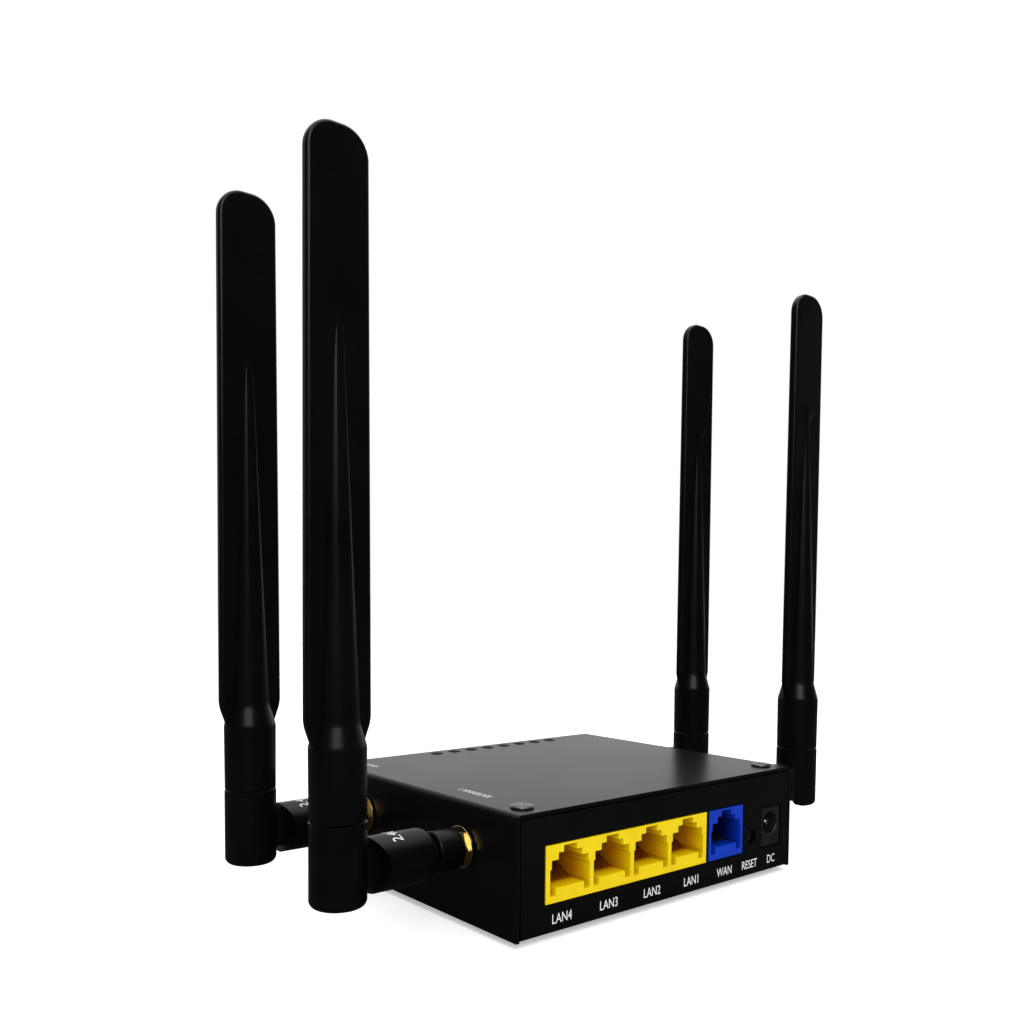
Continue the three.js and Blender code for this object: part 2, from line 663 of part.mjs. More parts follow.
// The barrel that turns on the connector: a round body with a hollow-cut shoulder, and the flat
// tongue that the knuckle folds on.
function makeBarrel() {
  const neckEnd = 8;
  const neckRadius = 2.4;
  const near = 9.5;
  const shoulderRound = 2.6;
  const bodyEnd = HINGE_OUT - TUBE_RADIUS;
  const outline = [[neckEnd, 0], [neckEnd, neckRadius], [near, neckRadius]];
  const roundSteps = 3;
  for (let i = 0; i <= roundSteps; i += 1) {
    const angle = (i / roundSteps) * Math.PI / 2;
    const along = near + shoulderRound * (1 - Math.cos(angle));
    const radius = TUBE_RADIUS - shoulderRound * (1 - Math.sin(angle));
    outline.push([along, radius]);
  }
  outline.push([bodyEnd, TUBE_RADIUS], [bodyEnd, 0]);
  const body = cut(
    turnedX(outline, SIDES_LARGE),
    rodY(SHOULDER_RADIUS, -TUBE_RADIUS - OVERRUN, TUBE_RADIUS + OVERRUN, HINGE_OUT, 0, SIDES_LARGE * 2),
  );
  const tongueRoot = HINGE_OUT - SHOULDER_RADIUS - TONGUE_HALF;
  const whole = join(
    body,
    block(tongueRoot, HINGE_OUT, -TONGUE_HALF, TONGUE_HALF, -TONGUE_RADIUS, TONGUE_RADIUS),
    rodY(TONGUE_RADIUS, -TONGUE_HALF, TONGUE_HALF, HINGE_OUT, 0, SIDES_LARGE),
  );
  return cut(whole, rodY(PIN_RADIUS + GAP, -TUBE_RADIUS, TUBE_RADIUS, HINGE_OUT, 0, SIDES_SMALL));
}

const pinHalf = 4.6;

function makePin() {
  return rodY(PIN_RADIUS, -pinHalf, pinHalf, HINGE_OUT, 0, SIDES_SMALL);
}

// The fork under the blade: a round post, rounded at the bottom and more so towards the case, slotted
// for the tongue from the case side and from below, and closed on the outside.
function makeKnuckle() {
  const rimRound = 1.6;
  const innerRound = 4.2;
  const outline = new THREE.Shape();
  outline.moveTo(HINGE_OUT - TUBE_RADIUS, KNUCKLE_TOP);
  outline.lineTo(HINGE_OUT - TUBE_RADIUS, KNUCKLE_BOTTOM + innerRound);
  outline.absarc(
    HINGE_OUT - TUBE_RADIUS + innerRound, KNUCKLE_BOTTOM + innerRound, innerRound,
    Math.PI, Math.PI * 1.5, false,
  );
  outline.lineTo(HINGE_OUT + TUBE_RADIUS, KNUCKLE_BOTTOM);
  outline.lineTo(HINGE_OUT + TUBE_RADIUS, KNUCKLE_TOP);
  outline.closePath();
  const post = turnedZ([
    [KNUCKLE_BOTTOM, 0], [KNUCKLE_BOTTOM, TUBE_RADIUS - rimRound],
    [KNUCKLE_BOTTOM + rimRound * 0.3, TUBE_RADIUS - rimRound * 0.3],
    [KNUCKLE_BOTTOM + rimRound, TUBE_RADIUS], [KNUCKLE_TOP, TUBE_RADIUS], [KNUCKLE_TOP, 0],
  ], HINGE_OUT, SIDES_LARGE);
  const rounded = post.intersect(plateY(outline, -TUBE_RADIUS - OVERRUN, TUBE_RADIUS + OVERRUN, STEPS_LARGE));
  const slot = new THREE.Shape();
  slot.moveTo(HINGE_OUT - TUBE_RADIUS - OVERRUN, KNUCKLE_BOTTOM - OVERRUN);
  slot.lineTo(HINGE_OUT + SLOT_RADIUS, KNUCKLE_BOTTOM - OVERRUN);
  slot.lineTo(HINGE_OUT + SLOT_RADIUS, 0);
  slot.absarc(HINGE_OUT, 0, SLOT_RADIUS, 0, Math.PI / 2, false);
  slot.lineTo(HINGE_OUT - TUBE_RADIUS - OVERRUN, SLOT_RADIUS);
  slot.closePath();
  return cut(
    rounded,
    plateY(slot, -SLOT_HALF, SLOT_HALF, STEPS_LARGE),
    rodY(PIN_RADIUS + GAP, -pinHalf - GAP, pinHalf + GAP, HINGE_OUT, 0, SIDES_SMALL),
  );
}

// The antenna cover: a round sleeve with a sloping shoulder, above it a thin flat blade with a
// tapering round spine up the middle of both faces.
function makeBlade() {
  const tipRound = 6.2;
  const lowHalf = BLADE_WIDTH_LOW / 2;
  const highHalf = BLADE_WIDTH_HIGH / 2;
  const tipRight = HINGE_OUT + highHalf - tipRound;
  const tipLeft = HINGE_OUT - highHalf + tipRound;
  const bottom = KNUCKLE_TOP + GAP;
  const sleeve = turnedZ([
    [bottom, 0], [bottom, TUBE_RADIUS], [SLEEVE_TOP, TUBE_RADIUS], [BLADE_SHOULDER, SPINE_RADIUS],
    [SPINE_TOP, SPINE_TIP_RADIUS], [SPINE_TOP, 0],
  ], HINGE_OUT, SIDES_LARGE);
  const outline = new THREE.Shape();
  outline.moveTo(HINGE_OUT - TUBE_RADIUS + GAP, SLEEVE_TOP);
  outline.lineTo(HINGE_OUT + TUBE_RADIUS - GAP, SLEEVE_TOP);
  outline.lineTo(HINGE_OUT + lowHalf, BLADE_SHOULDER);
  outline.lineTo(HINGE_OUT + highHalf, ANTENNA_TIP - tipRound);
  outline.absarc(tipRight, ANTENNA_TIP - tipRound, tipRound, 0, Math.PI / 2, false);
  outline.lineTo(tipLeft, ANTENNA_TIP);
  outline.absarc(tipLeft, ANTENNA_TIP - tipRound, tipRound, Math.PI / 2, Math.PI, false);
  outline.lineTo(HINGE_OUT - lowHalf, BLADE_SHOULDER);
  outline.closePath();
  return join(sleeve, plateY(outline, -BLADE_THICKNESS / 2, BLADE_THICKNESS / 2, STEPS_LARGE));
}

// The coax lead inside the case, from the connector's stem down to its socket on the board.
function makePigtail() {
  const coaxRadius = 0.9;
  const start = -6 - GAP;
  const board = BOARD_TOP + GAP - FLOOR - CONNECTOR_HEIGHT;
  const plugX = -20;
  const plugRadius = 1.5;
  const plugHeight = 2.4;
  const routeSteps = 9;
  const route = new THREE.CatmullRomCurve3([
    new THREE.Vector3(start, 0, 0),
    new THREE.Vector3(start - 3, 0, 0),
    new THREE.Vector3(plugX + 6, 0, -3),
    new THREE.Vector3(plugX + 1.5, 0, -6.5),
    new THREE.Vector3(plugX, 0, board + plugHeight / 2),
  ]);
  const section = new THREE.Shape();
  section.absarc(0, 0, coaxRadius, 0, Math.PI * 2, false);
  const along = { extrudePath: route, steps: routeSteps, curveSegments: STEPS_SMALL };
  const lead = new THREE.ExtrudeGeometry(section, along);
  return join(solid(lead), rodZ(plugRadius, board, board + plugHeight, plugX, 0, SIDES_SMALL));
}

function addAntenna(place, wall, y, turn) {
  const antenna = new THREE.Group();
  antenna.position.set(wall, y, FLOOR + CONNECTOR_HEIGHT);
  antenna.rotation.z = turn;
  antenna.add(
    meshOf(makeConnectorJack(), 'brass', `${place}_sma_jack`),
    meshOf(makeConnectorNut(), 'brass', `${place}_sma_nut`),
    meshOf(makeCouplingNut(), 'blackPlastic', `${place}_coupling_nut`),
    meshOf(makeBarrel(), 'blackPlastic', `${place}_hinge_barrel`),
    meshOf(makePin(), 'steel', `${place}_hinge_pin`),
    meshOf(makeKnuckle(), 'blackPlastic', `${place}_hinge_knuckle`),
    meshOf(makeBlade(), 'blackPlastic', `${place}_antenna_blade`),
    meshOf(makePigtail(), 'cableJacket', `${place}_coax_lead`),
  );
  router.add(antenna);
}

addAntenna('left_front', -SIDE, CONNECTOR_FRONT_Y, Math.PI);
addAntenna('left_rear', -SIDE, CONNECTOR_REAR_Y, Math.PI);
addAntenna('right_front', SIDE, CONNECTOR_FRONT_Y, 0);
addAntenna('right_rear', SIDE, CONNECTOR_REAR_Y, 0);

export default router;
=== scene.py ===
import math

import bpy
from mathutils import Matrix, Vector


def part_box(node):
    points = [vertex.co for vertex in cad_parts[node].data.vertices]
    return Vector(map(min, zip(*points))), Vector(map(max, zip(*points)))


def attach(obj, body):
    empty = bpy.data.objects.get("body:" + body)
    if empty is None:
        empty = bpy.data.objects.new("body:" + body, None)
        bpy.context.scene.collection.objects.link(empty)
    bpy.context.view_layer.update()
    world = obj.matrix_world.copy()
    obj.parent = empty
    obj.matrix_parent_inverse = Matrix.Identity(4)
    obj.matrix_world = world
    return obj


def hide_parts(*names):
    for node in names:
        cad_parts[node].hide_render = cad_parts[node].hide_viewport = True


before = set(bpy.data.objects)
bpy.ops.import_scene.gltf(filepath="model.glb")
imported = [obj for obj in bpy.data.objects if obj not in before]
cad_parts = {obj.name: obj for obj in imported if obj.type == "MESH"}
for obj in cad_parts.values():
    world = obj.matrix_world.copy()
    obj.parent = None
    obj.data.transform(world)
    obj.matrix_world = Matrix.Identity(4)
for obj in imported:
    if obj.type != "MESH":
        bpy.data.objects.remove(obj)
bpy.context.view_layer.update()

# ---- Case cover ----
# The top and both side walls are folded from one sheet of 1 mm steel. It is punched for the screws,
# the light windows and the antenna connectors, then powder coated in satin black.

MM = 0.001
SHEET = 1.0 * MM
BEND_RADIUS = 1.4 * MM
SCREW_HOLE_RADIUS = 1.5 * MM
LIGHT_COUNT = 8
LIGHT_PITCH = 6.69 * MM
LIGHT_HOLE_RADIUS = 1.9 * MM
CONNECTOR_HOLE_RADIUS = 3.45 * MM
PLACES = ("left_front", "left_rear", "right_front", "right_rear")
cover_low, cover_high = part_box("top_cover")


def pick(*pieces):
    """Selects only these pieces, with the first one active."""
    bpy.ops.object.select_all(action="DESELECT")
    for piece in pieces:
        piece.select_set(True)
    bpy.context.view_layer.objects.active = pieces[0]


def settle(piece):
    """Puts the piece's place, turn and size into its mesh."""
    pick(piece)
    bpy.ops.object.transform_apply(location=True, rotation=True, scale=True)
    return piece


def slab(name, low, high):
    """A block between two corners, to be shaped further."""
    bpy.ops.object.select_all(action="DESELECT")
    middle = [(a + b) / 2 for a, b in zip(low, high)]
    bpy.ops.mesh.primitive_cube_add(size=1, location=middle)
    piece = bpy.context.object
    piece.name = name
    piece.scale = [abs(b - a) for a, b in zip(low, high)]
    return settle(piece)


def rod(name, radius, start, end, sides=48):
    """A round bar between two points, to be shaped further or used as a punch."""
    bpy.ops.object.select_all(action="DESELECT")
    start, end = Vector(start), Vector(end)
    along = end - start
    bpy.ops.mesh.primitive_cylinder_add(
        vertices=sides, radius=radius, depth=along.length, location=(start + end) / 2,
        rotation=along.to_track_quat("Z", "Y").to_euler(),
    )
    piece = bpy.context.object
    piece.name = name
    return settle(piece)


def choose_faces(piece, wanted):
    """Opens the piece in edit mode with the faces selected whose middle and normal are wanted."""
    pick(piece)
    bpy.ops.object.mode_set(mode="EDIT")
    bpy.ops.mesh.select_mode(type="FACE")
    bpy.ops.mesh.select_all(action="DESELECT")
    bpy.ops.object.mode_set(mode="OBJECT")
    for face in piece.data.polygons:
        face.select = wanted(face.center, face.normal)
    bpy.ops.object.mode_set(mode="EDIT")


def choose_edges(piece, wanted):
    """Opens the piece in edit mode with the edges selected whose two ends are wanted."""
    pick(piece)
    bpy.ops.object.mode_set(mode="EDIT")
    bpy.ops.mesh.select_mode(type="EDGE")
    bpy.ops.mesh.select_all(action="DESELECT")
    bpy.ops.object.mode_set(mode="OBJECT")
    corners = piece.data.vertices
    for edge in piece.data.edges:
        a, b = edge.vertices
        edge.select = wanted(corners[a].co, corners[b].co)
    bpy.ops.object.mode_set(mode="EDIT")


def leave_edit():
    bpy.ops.object.mode_set(mode="OBJECT")


def shape_with(piece, kind, **settings):
    """Adds one modifier to the piece and applies it."""
    pick(piece)
    modifier = piece.modifiers.new(kind, kind)
    for name, value in settings.items():
        setattr(modifier, name, value)
    bpy.ops.object.modifier_apply(modifier=modifier.name)


def weld(pieces):
    """Joins loose pieces into the first of them, as separate shells."""
    pick(*pieces)
    bpy.ops.object.join()
    return pieces[0]


def punch(piece, punches, crossing=False):
    """Cuts the shapes of the punches out of the piece."""
    tool = weld(punches) if len(punches) > 1 else punches[0]
    shape_with(piece, "BOOLEAN", object=tool, operation="DIFFERENCE", solver="EXACT", use_self=crossing)
    bpy.data.objects.remove(tool)


def fuse(piece, *others):
    """Makes one closed body of the piece and the others."""
    for other in others:
        shape_with(piece, "BOOLEAN", object=other, operation="UNION", solver="EXACT")
        bpy.data.objects.remove(other)


def soften(piece, width, segments=2, angle=32):
    """Rounds every sharp edge a little and shades the piece smooth between its edges."""
    shape_with(
        piece, "BEVEL", width=width, segments=segments, limit_method="ANGLE",
        angle_limit=math.radians(angle), miter_outer="MITER_ARC", harden_normals=False,
    )
    smooth(piece, angle)


def smooth(piece, angle=32):
    pick(piece)
    bpy.ops.object.shade_smooth_by_angle(angle=math.radians(angle))
    shape_with(piece, "WEIGHTED_NORMAL", weight=80, keep_sharp=True)


def is_bend(height):
    """The two long corners of a folded sheet lie at this height."""
    return lambda a, b: abs(a.z - height) < 0.1 * MM and abs(b.z - height) < 0.1 * MM


cover = slab("case_cover", cover_low, cover_high)
choose_faces(cover, lambda middle, normal: normal.z < -0.5 or abs(normal.y) > 0.5)
bpy.ops.mesh.delete(type="FACE")
leave_edit()
choose_edges(cover, lambda a, b: is_bend(cover_high.z)(a, b) and abs(a.x - b.x) < 0.1 * MM)
bpy.ops.mesh.bevel(offset=BEND_RADIUS, segments=8, affect="EDGES")
leave_edit()
shape_with(cover, "SOLIDIFY", thickness=SHEET, offset=-1, use_even_offset=True)

light_low, light_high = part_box("light_guide")
light_first_x = light_low.x + 4 * MM
light_y = light_high.y - 2 * MM
light_xs = [light_first_x + i * LIGHT_PITCH for i in range(LIGHT_COUNT)]
holes = []
for number in (1, 2):
    low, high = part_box(f"cover_screw_{number}")
    x, y = (low.x + high.x) / 2, (low.y + high.y) / 2
    holes.append(rod("hole", SCREW_HOLE_RADIUS, (x, y, cover_high.z - 3 * MM), (x, y, cover_high.z + MM)))
for x in light_xs:
    start = (x, light_y, cover_high.z - 3 * MM)
    holes.append(rod("hole", LIGHT_HOLE_RADIUS, start, (x, light_y, cover_high.z + MM)))
for place in PLACES:
    low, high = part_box(f"{place}_sma_jack")
    side = math.copysign(1, low.x)
    y, z = (low.y + high.y) / 2, (low.z + high.z) / 2
    start, end = (side * 49 * MM, y, z), (side * 54 * MM, y, z)
    holes.append(rod("hole", CONNECTOR_HOLE_RADIUS, start, end))
punch(cover, holes)
soften(cover, 0.14 * MM)


def surface_group():
    """Slow blotches and a fine grain: the colour, roughness and height of a real finish."""
    group = bpy.data.node_groups.new("Finish variation", "ShaderNodeTree")
    sockets = group.interface
    for name, kind, value in (
        ("Colour", "NodeSocketColor", (0.01, 0.01, 0.01, 1)),
        ("Second colour", "NodeSocketColor", (0.03, 0.03, 0.03, 1)),
        ("Roughness", "NodeSocketFloat", 0.35),
        ("Roughness change", "NodeSocketFloat", 0.1),
        ("Grain scale", "NodeSocketFloat", 2500.0),
        ("Blotch scale", "NodeSocketFloat", 60.0),
    ):
        sockets.new_socket(name, in_out="INPUT", socket_type=kind).default_value = value
    for name, kind in (
        ("Colour", "NodeSocketColor"),
        ("Roughness", "NodeSocketFloat"),
        ("Height", "NodeSocketFloat"),
    ):
        sockets.new_socket(name, in_out="OUTPUT", socket_type=kind)
    nodes, links = group.nodes, group.links
    inputs = nodes.new("NodeGroupInput")
    outputs = nodes.new("NodeGroupOutput")
    place = nodes.new("ShaderNodeTexCoord")
    grain = nodes.new("ShaderNodeTexNoise")
    grain.inputs["Detail"].default_value = 3
    links.new(place.outputs["Object"], grain.inputs["Vector"])
    links.new(inputs.outputs["Grain scale"], grain.inputs["Scale"])
    blotch = nodes.new("ShaderNodeTexNoise")
    blotch.inputs["Detail"].default_value = 5
    blotch.inputs["Roughness"].default_value = 0.6
    links.new(place.outputs["Object"], blotch.inputs["Vector"])
    links.new(inputs.outputs["Blotch scale"], blotch.inputs["Scale"])
    spread = nodes.new("ShaderNodeMapRange")
    spread.inputs["From Min"].default_value = 0.3
    spread.inputs["From Max"].default_value = 0.7
    links.new(blotch.outputs["Fac"], spread.inputs["Value"])
    colours = nodes.new("ShaderNodeMix")
    colours.data_type = "RGBA"
    links.new(spread.outputs["Result"], colours.inputs["Factor"])
    links.new(inputs.outputs["Colour"], colours.inputs["A"])
    links.new(inputs.outputs["Second colour"], colours.inputs["B"])
    links.new(colours.outputs["Result"], outputs.inputs["Colour"])
    centred = nodes.new("ShaderNodeMath")
    centred.operation = "SUBTRACT"
    centred.inputs[1].default_value = 0.5
    links.new(spread.outputs["Result"], centred.inputs[0])
    rough = nodes.new("ShaderNodeMath")
    rough.operation = "MULTIPLY_ADD"
    links.new(centred.outputs[0], rough.inputs[0])
    links.new(inputs.outputs["Roughness change"], rough.inputs[1])
    links.new(inputs.outputs["Roughness"], rough.inputs[2])
    links.new(rough.outputs[0], outputs.inputs["Roughness"])
    links.new(grain.outputs["Fac"], outputs.inputs["Height"])
    return group


finish_variation = surface_group()


def finish(name, colour, second, roughness, change, grain, blotch, depth, strength, **shader):
    """A material whose colour, roughness and fine relief vary as the real surface does."""
    material = bpy.data.materials.new(name)
    material.use_nodes = True
    nodes, links = material.node_tree.nodes, material.node_tree.links
    principled = nodes["Principled BSDF"]
    for socket, value in shader.items():
        principled.inputs[socket.replace("_", " ")].default_value = value
    variation = nodes.new("ShaderNodeGroup")
    variation.node_tree = finish_variation
    variation.inputs["Colour"].default_value = (*colour, 1)
    variation.inputs["Second colour"].default_value = (*second, 1)
    variation.inputs["Roughness"].default_value = roughness
    variation.inputs["Roughness change"].default_value = change
    variation.inputs["Grain scale"].default_value = grain
    variation.inputs["Blotch scale"].default_value = blotch
    bump = nodes.new("ShaderNodeBump")
    bump.inputs["Distance"].default_value = depth
    bump.inputs["Strength"].default_value = strength
    links.new(variation.outputs["Colour"], principled.inputs["Base Color"])
    links.new(variation.outputs["Roughness"], principled.inputs["Roughness"])
    links.new(variation.outputs["Height"], bump.inputs["Height"])
    links.new(bump.outputs["Normal"], principled.inputs["Normal"])
    return material


def dress(piece, material):
    piece.data.materials.clear()
    piece.data.materials.append(material)


def stand_for(piece, body, node, material):
    """The piece is shown for this CAD node, moves with its body and wears its finish."""
    piece.name = f"{node}_look"
    dress(piece, material)
    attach(piece, body)
    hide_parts(node)


case_paint = finish(
    "Satin black powder coat", (0.0016, 0.0017, 0.0018), (0.003, 0.003, 0.0032),
    0.26, 0.03, 1400, 30, 0.05 * MM, 0.1, IOR=1.45, Specular_IOR_Level=0.22,
)
stand_for(cover, "case", "top_cover", case_paint)

# ---- Base tray ----
# The bottom, the port panel and the light-side panel are folded from one sheet of the same steel.
# Bent tabs take the cover screws, and pressed-in posts carry the board.

TAB_WIDTH = 9 * MM
TAB_DEPTH = 10 * MM
POST_RADIUS = 2.8 * MM
tray_low, tray_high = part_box("base_tray")
lan_low, lan_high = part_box("lan_jack_block")
wan_low, wan_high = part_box("wan_jack")
inlet_low, inlet_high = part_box("dc_jack_housing")
button_low, button_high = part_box("reset_button")
board_low, board_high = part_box("main_board")

tray = slab("tray", tray_low, tray_high)
choose_faces(tray, lambda middle, normal: normal.z > 0.5 or abs(normal.x) > 0.5)
bpy.ops.mesh.delete(type="FACE")
leave_edit()
choose_edges(tray, lambda a, b: is_bend(tray_low.z)(a, b) and abs(a.y - b.y) < 0.1 * MM)
bpy.ops.mesh.bevel(offset=BEND_RADIUS, segments=8, affect="EDGES")
leave_edit()
shape_with(tray, "SOLIDIFY", thickness=SHEET, offset=-1, use_even_offset=True)

screw_holes = []
for number in (1, 2):
    low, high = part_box(f"cover_screw_{number}")
    x, y = (low.x + high.x) / 2, (low.y + high.y) / 2
    side, end = math.copysign(1, x), math.copysign(1, y)
    corner = Vector((side * tray_high.x, end * (tray_high.y - SHEET / 2), tray_high.z))
    inner = corner - Vector((side * TAB_WIDTH, end * TAB_DEPTH, SHEET))
    tab = slab("tab", [min(a, b) for a, b in zip(corner, inner)], [max(a, b) for a, b in zip(corner, inner)])
    fuse(tray, tab)
    screw_holes.append(rod("hole", SCREW_HOLE_RADIUS, (x, y, tray_high.z - 2 * MM), (x, y, tray_high.z + MM)))
for number in range(1, 5):
    low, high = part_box(f"board_screw_{number}")
    x, y = (low.x + high.x) / 2, (low.y + high.y) / 2
    post_top = board_low.z - 0.3 * MM
    fuse(tray, rod("post", POST_RADIUS, (x, y, tray_low.z + SHEET / 2), (x, y, post_top)))
    screw_holes.append(rod("hole", SCREW_HOLE_RADIUS, (x, y, tray_low.z + SHEET), (x, y, post_top + MM)))
punch(tray, screw_holes)

panel_y = (tray_low.y - MM, tray_low.y + 2 * MM)
clear = 0.3 * MM
reset_x, reset_z = (button_low.x + button_high.x) / 2, (button_low.z + button_high.z) / 2
windows = [
    slab("window", (low.x - clear, panel_y[0], low.z - clear), (high.x + clear, panel_y[1], high.z + clear))
    for low, high in ((lan_low, lan_high), (wan_low, wan_high), (inlet_low, inlet_high))
]
windows.append(rod("window", 2.1 * MM, (reset_x, panel_y[0], reset_z), (reset_x, panel_y[1], reset_z)))
punch(tray, windows)
soften(tray, 0.12 * MM)
stand_for(tray, "case", "base_tray", case_paint)

# ---- Cover screws ----
# Two short, low-headed machine screws with a cross recess, in blackened steel that shines a little.
# They hold the cover to the tray's tabs over the port panel.

HEAD_RADIUS = 2.8 * MM
HEAD_HEIGHT = 0.78 * MM


def turned(name, outline, sides=64, hollow=False):
    """A piece turned about Z from its (height, radius) outline: a ring is drawn out step by step."""
    bpy.ops.object.select_all(action="DESELECT")
    height, radius = outline[0]
    bpy.ops.mesh.primitive_circle_add(
        vertices=sides, radius=radius, location=(0, 0, height), fill_type="NOTHING",
    )
    piece = settle(bpy.context.object)
    piece.name = name
    bpy.ops.object.mode_set(mode="EDIT")
    bpy.ops.mesh.select_mode(type="EDGE")
    bpy.ops.mesh.select_all(action="SELECT")
    if not hollow:
        bpy.ops.mesh.edge_face_add()
        bpy.ops.mesh.select_all(action="SELECT")
    for next_height, next_radius in outline[1:]:
        if hollow:
            bpy.ops.mesh.extrude_edges_move(TRANSFORM_OT_translate={"value": (0, 0, next_height - height)})
        else:
            bpy.ops.mesh.extrude_region_move(TRANSFORM_OT_translate={"value": (0, 0, next_height - height)})
        share = next_radius / radius
        bpy.ops.transform.resize(value=(share, share, 1), center_override=(0, 0, next_height))
        height, radius = next_height, next_radius
    bpy.ops.mesh.select_all(action="SELECT")
    bpy.ops.mesh.remove_doubles(threshold=0.001 * MM)
    bpy.ops.mesh.normals_make_consistent(inside=False)
    leave_edit()
    return piece


def rounded(corner_height, corner_radius, round_radius, up, steps=6):
    """Outline points that round the rim between a piece's side and its end."""
    centre_height = corner_height - up * round_radius
    centre_radius = corner_radius - round_radius
    points = []
    for i in range(steps + 1):
        angle = math.radians(90) * i / steps
        height = centre_height + up * round_radius * math.sin(angle)
        points.append((height, centre_radius + round_radius * math.cos(angle)))
    return points


def copy_of(piece, name, matrix):
    """A copy with its own mesh, put in place by the matrix."""
    twin = piece.copy()
    twin.data = piece.data.copy()
    twin.name = name
    bpy.context.scene.collection.objects.link(twin)
    twin.data.transform(matrix)
    return twin


def make_screw():
    shank = turned("screw", [(-4.4 * MM, 0.9 * MM), (-4.1 * MM, 1.2 * MM), (0.2 * MM, 1.2 * MM)], 32)
    dome = [(0, 2.6 * MM), (0.08 * MM, HEAD_RADIUS), (0.3 * MM, HEAD_RADIUS)]
    for step in range(1, 9):
        angle = math.radians(90) * step / 9
        dome.append((0.3 * MM + 0.48 * MM * math.sin(angle), HEAD_RADIUS * math.cos(angle) ** 0.45))
    dome.append((HEAD_HEIGHT, 0.3 * MM))
    head = turned("head", dome)
    fuse(head, shank)
    arms = []
    for length, width in ((1.75 * MM, 0.42 * MM), (0.42 * MM, 1.75 * MM)):
        arm = slab("arm", (-length, -width, 0.1 * MM), (length, width, 2 * MM))
        choose_faces(arm, lambda middle, normal: normal.z < -0.5)
        bpy.ops.transform.resize(value=(0.6, 0.6, 1), center_override=(0, 0, 0.1 * MM))
        leave_edit()
        arms.append(arm)
    punch(head, arms, crossing=True)
    soften(head, 0.06 * MM, angle=35)
    return head


blackened_steel = finish(
    "Blackened steel", (0.09, 0.09, 0.095), (0.16, 0.16, 0.165),
    0.24, 0.12, 3000, 500, 0.02 * MM, 0.2, Metallic=0.85,
)
screw = make_screw()
for number in (1, 2):
    low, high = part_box(f"cover_screw_{number}")
    seat = Vector(((low.x + high.x) / 2, (low.y + high.y) / 2, cover_high.z + 0.02 * MM))
    turn = Matrix.Rotation(math.radians(17 + 31 * number), 4, "Z")
    fastener = copy_of(screw, "screw", Matrix.Translation(seat) @ turn)
    stand_for(fastener, "case", f"cover_screw_{number}", blackened_steel)
bpy.data.objects.remove(screw)

# ---- Feet ----
# Four stick-on discs of soft black rubber with a rounded rim, hollowed a little underneath. They are
# stuck under the corners of the tray.

rubber = finish("Foot rubber", (0.012, 0.012, 0.012), (0.02, 0.02, 0.02), 0.75, 0.1, 1500, 120, 0.1 * MM, 0.3)
foot_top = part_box("foot_1")[1].z
foot = turned("foot", [
    (foot_top, 4.3 * MM), (foot_top - 0.1 * MM, 4.5 * MM), (0.5 * MM, 4.3 * MM), (0.2 * MM, 4.1 * MM),
    (0.05 * MM, 3.8 * MM), (0, 3.4 * MM), (0.12 * MM, 2.6 * MM),
])
smooth(foot, 40)
for number in range(1, 5):
    low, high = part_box(f"foot_{number}")
    middle = Vector(((low.x + high.x) / 2, (low.y + high.y) / 2, 0))
    pad = copy_of(foot, "foot", Matrix.Translation(middle))
    stand_for(pad, "case", f"foot_{number}", rubber)
bpy.data.objects.remove(foot)

# ---- Network jacks ----
# A yellow block of four sockets and a blue single one, moulded in glossy nylon. They are soldered to
# the board and come through the port panel. Each socket is stepped at the top for the plug's latch.

SOCKET_PITCH = 13.97 * MM
SOCKET_STEPS = (
    # half width, bottom and top above the jack's own bottom
    (6.3 * MM, 3.4 * MM, 7.8 * MM),
    (5.85 * MM, 7.6 * MM, 9.9 * MM),
    (3.7 * MM, 9.8 * MM, 11.5 * MM),
    (2.05 * MM, 11.4 * MM, 13 * MM),
)
GROOVE = (4.5 * MM, 6.3 * MM, 1.6 * MM, 3.6 * MM)


def make_jack(name, low, high, centres):
    jack = slab(name, low, high)
    y_from, y_to = low.y - MM, high.y + MM
    for x in centres:
        cores = []
        for half, bottom, top in SOCKET_STEPS:
            cores.append(slab("core", (x - half, y_from, low.z + bottom), (x + half, y_to, low.z + top)))
        near, far, bottom, top = GROOVE
        cores.append(slab("core", (x + near, y_from, low.z + bottom), (x + far, y_to, low.z + top)))
        cores.append(slab("core", (x - far, y_from, low.z + bottom), (x - near, y_to, low.z + top)))
        punch(jack, cores, crossing=True)
    soften(jack, 0.16 * MM)
    return jack


lan_middle = (lan_low.x + lan_high.x) / 2
lan_centres = [lan_middle + (i - 1.5) * SOCKET_PITCH for i in range(4)]
wan_centres = [(wan_low.x + wan_high.x) / 2]


def shade_socket_insides(material, shade_colour):
    """Painted shade: the colour darkens from the jack's face to the inside of its sockets, where the shadow
    falls.
    """
    nodes, links = material.node_tree.nodes, material.node_tree.links
    principled = nodes["Principled BSDF"]
    face_colour = principled.inputs["Base Color"].links[0].from_socket
    place = nodes.new("ShaderNodeTexCoord")
    axes = nodes.new("ShaderNodeSeparateXYZ")
    links.new(place.outputs["Object"], axes.inputs["Vector"])
    depth = nodes.new("ShaderNodeMapRange")
    depth.inputs["From Min"].default_value = lan_low.y + 0.3 * MM
    depth.inputs["From Max"].default_value = lan_low.y + 6 * MM
    links.new(axes.outputs["Y"], depth.inputs["Value"])
    colour = nodes.new("ShaderNodeMix")
    colour.data_type = "RGBA"
    colour.inputs["B"].default_value = (*shade_colour, 1)
    links.new(depth.outputs["Result"], colour.inputs["Factor"])
    links.new(face_colour, colour.inputs["A"])
    links.new(colour.outputs["Result"], principled.inputs["Base Color"])


